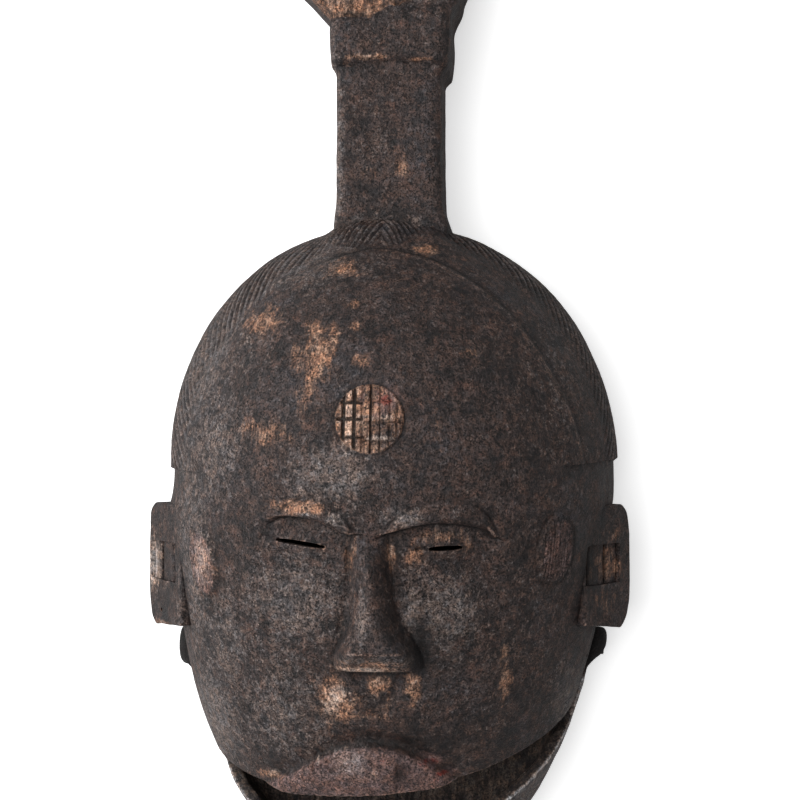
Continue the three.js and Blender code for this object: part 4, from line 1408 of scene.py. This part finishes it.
def crustedWood(name):
    f = Finish(name)
    broad = f.noise(30, 1.0, 3, 0.55)
    mottle = f.noise(10, 2.0, 6, 0.68)
    blotch = f.noise(6, 3.0, 5, 0.62)
    crumb = f.noise(1.9, 4.0, 5, 0.75)
    speck = f.noise(0.75, 5.0, 2, 0.6)
    streak = f.noise(3.0, 6.0, 5, 0.7, f.grain)
    fibre = f.noise(0.9, 7.0, 3, 0.7, f.grain)
    flake = f.flakes(2.4, f.swirl(2.5, 4.0))

    # crust: brown to black, with red-brown and bluish clouds
    crust = f.plus(f.times(streak, 0.26), f.times(crumb, 0.25))
    crust = f.plus(f.times(mottle, 0.7), f.plus(f.times(flake, 0.08), crust))
    color = f.mix(f.step(crust, 0.50, 0.78), tones["black"], tones["brown"])
    color = f.mix(f.times(f.step(blotch, 0.50, 0.68), 0.8), color, tones["redBrown"])
    clouds = f.times(f.step(broad, 0.50, 0.70), f.step(crumb, 0.42, 0.60, 0.1, 0.7))
    color = f.mix(clouds, color, tones["blueGrey"])
    grains = f.times(f.step(crumb, 0.54, 0.66), f.step(mottle, 0.36, 0.56, 0.15, 0.6))
    color = f.mix(grains, color, tones["dust"])

    # dust lies in flakes; on the left-facing sides, the shaft's left edge, the brows, the mouth, the ear bar,
    # the nose facet and the hair ridges the same flakes are painted light
    dusty = f.plus(f.times(f.plus(crust, -0.64), 1.6), f.about(crumb, 1.5))
    dusty = f.plus(f.value("dust_and_light"), dusty)
    color = f.mix(f.times(f.step(dusty, 0.40, 1.05), 0.8), color, tones["dust"])
    thick = f.times(f.step(dusty, 0.9, 1.5), f.step(speck, 0.50, 0.62, 0, 0.55))
    color = f.mix(thick, color, tones["dustPale"])

    # worn down to the wood, in fibres along the grain
    tanHere = f.value("tan")
    worn = f.plus(f.plus(tanHere, f.about(blotch, 1.5)), f.about(streak, 1.2))
    wornTone = f.mix(f.step(fibre, 0.36, 0.62), tones["tanDeep"], tones["tan"])
    color = f.mix(f.times(f.step(worn, 0.47, 1.0), f.step(crumb, 0.34, 0.55, 0.45, 1.0)), color, wornTone)
    rubbed = f.plus(f.value("edge"), f.about(crumb, 1.4))
    color = f.mix(f.times(f.step(rubbed, 0.36, 0.95), 0.75), color, tones["edge"])

    # palest where it is rubbed most, and painted highlights on the brows, the mouth, the ear bar, the collar
    # rim and the jaw's rims
    pale = f.plus(f.value("pale"), f.plus(f.about(crumb, 1.3), f.about(fibre, 0.8)))
    paleTone = f.mix(f.step(f.value("dust_and_light"), 0.6, 1.0), tones["cream"], tones["white"])
    color = f.mix(f.times(f.step(pale, 0.40, 0.95), 0.85), color, paleTone)

    # paint left in the cuts and on the pads
    redHere = f.value("red")
    pinked = f.plus(redHere, f.about(crumb, 1.1))
    color = f.mix(f.times(f.step(pinked, 0.30, 0.85), 0.7), color, tones["pink"])
    color = f.mix(f.step(f.plus(redHere, f.about(blotch, 1.2)), 0.78, 0.98), color, tones["red"])

    # the inner side is bare wood gone brown
    rawTone = f.mix(f.step(streak, 0.38, 0.64), tones["black"], tones["raw"])
    color = f.mix(f.value("inside"), color, rawTone)

    # pale crumbs, pits and drying cracks, and painted shade where the dark value is set: in creases, cuts,
    # recesses and beside the nose
    crumbs = f.step(f.cells(1.5, "F1"), 0.12, 0.26, 1.0, 0.0)
    color = f.mix(f.times(crumbs, f.step(dusty, 0.05, 0.85, 0.0, 0.25)), color, tones["dustPale"])
    lines = f.step(f.cells(5.0, "DISTANCE_TO_EDGE", f.swirl(2.2, 2.8)), 0.010, 0.045, 1.0, 0.0)
    lines = f.times(lines, f.step(mottle, 0.50, 0.60))
    pits = f.times(f.step(speck, 0.34, 0.43, 1.0, 0.0), f.step(f.value("pale"), 0.2, 0.7, 0.75, 0.3))
    shadeCracksAndPits = f.sum("MAXIMUM", f.value("dark"), f.sum("MAXIMUM", f.times(lines, 0.7), pits))
    color = f.mix(f.times(shadeCracksAndPits, 0.92), color, tones["pit"])
    color = f.shade(color, speck, 0.35, 0.65, (0.46, 0.46, 0.46), (1.66, 1.62, 1.58))
    color = f.shade(color, flake, 0.2, 0.8, (0.80, 0.80, 0.82), (1.24, 1.22, 1.20))
    color = f.shade(color, fibre, 0.36, 0.62, (0.84, 0.84, 0.85), (1.18, 1.17, 1.15))
    tint = f.noise(3.2, 8.0, 3, 0.6)
    color = f.shade(color, tint, 0.38, 0.62, (0.93, 1.01, 1.10), (1.10, 0.99, 0.93))
    f.feed(f.shader.inputs["Base Color"], color)

    f.feed(f.shader.inputs["Roughness"], f.step(f.plus(mottle, f.about(crumb, 0.5)), 0.3, 0.7, 0.42, 0.68))
    f.feed(f.shader.inputs["Specular IOR Level"], 0.34)
    height = f.plus(f.times(crumb, 0.9), f.plus(f.times(speck, 0.35), f.times(streak, 0.5)))
    height = f.plus(height, f.times(flake, 0.25))
    height = f.plus(height, f.times(shadeCracksAndPits, -0.35))
    f.bump(height, 0.9, 0.0014)
    return f.material


def blackPeg(name):
    f = Finish(name)
    fibre = f.noise(0.8, 1.0, 4, 0.7)
    f.feed(f.shader.inputs["Base Color"], f.mix(f.step(fibre, 0.4, 0.62), tones["pit"], tones["brown"]))
    f.feed(f.shader.inputs["Roughness"], f.step(fibre, 0.3, 0.7, 0.35, 0.6))
    f.bump(fibre, 0.4, 0.0005)
    return f.material


paintMask(mask)
paintJaw(jawPiece)
carvedSkin = crustedWood("crusted_dark_wood")
jawSkin = crustedWood("jaw_dark_wood")
pegSkin = blackPeg("peg_black")

print("finish")


def finishMesh(piece, angleDeg, material):
    for v in piece.data.vertices:
        v.co = v.co * 0.001
    piece.data.validate()
    piece.data.shade_smooth()
    piece.data.set_sharp_from_angle(angle=math.radians(angleDeg))
    piece.data.materials.clear()
    piece.data.materials.append(material)
    triangles = sum(len(face.vertices) - 2 for face in piece.data.polygons)
    print(piece.name, triangles, "triangles")


finishMesh(mask, 40, carvedSkin)
finishMesh(jawPiece, 40, jawSkin)
for peg in pegs:
    finishMesh(peg, 40, pegSkin)

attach(mask, "mask")
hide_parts("mask")
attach(jawPiece, "jaw")
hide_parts("jaw")
for peg, side in zip(pegs, ("left", "right")):
    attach(peg, "mask")
    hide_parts("hinge_peg_" + side)
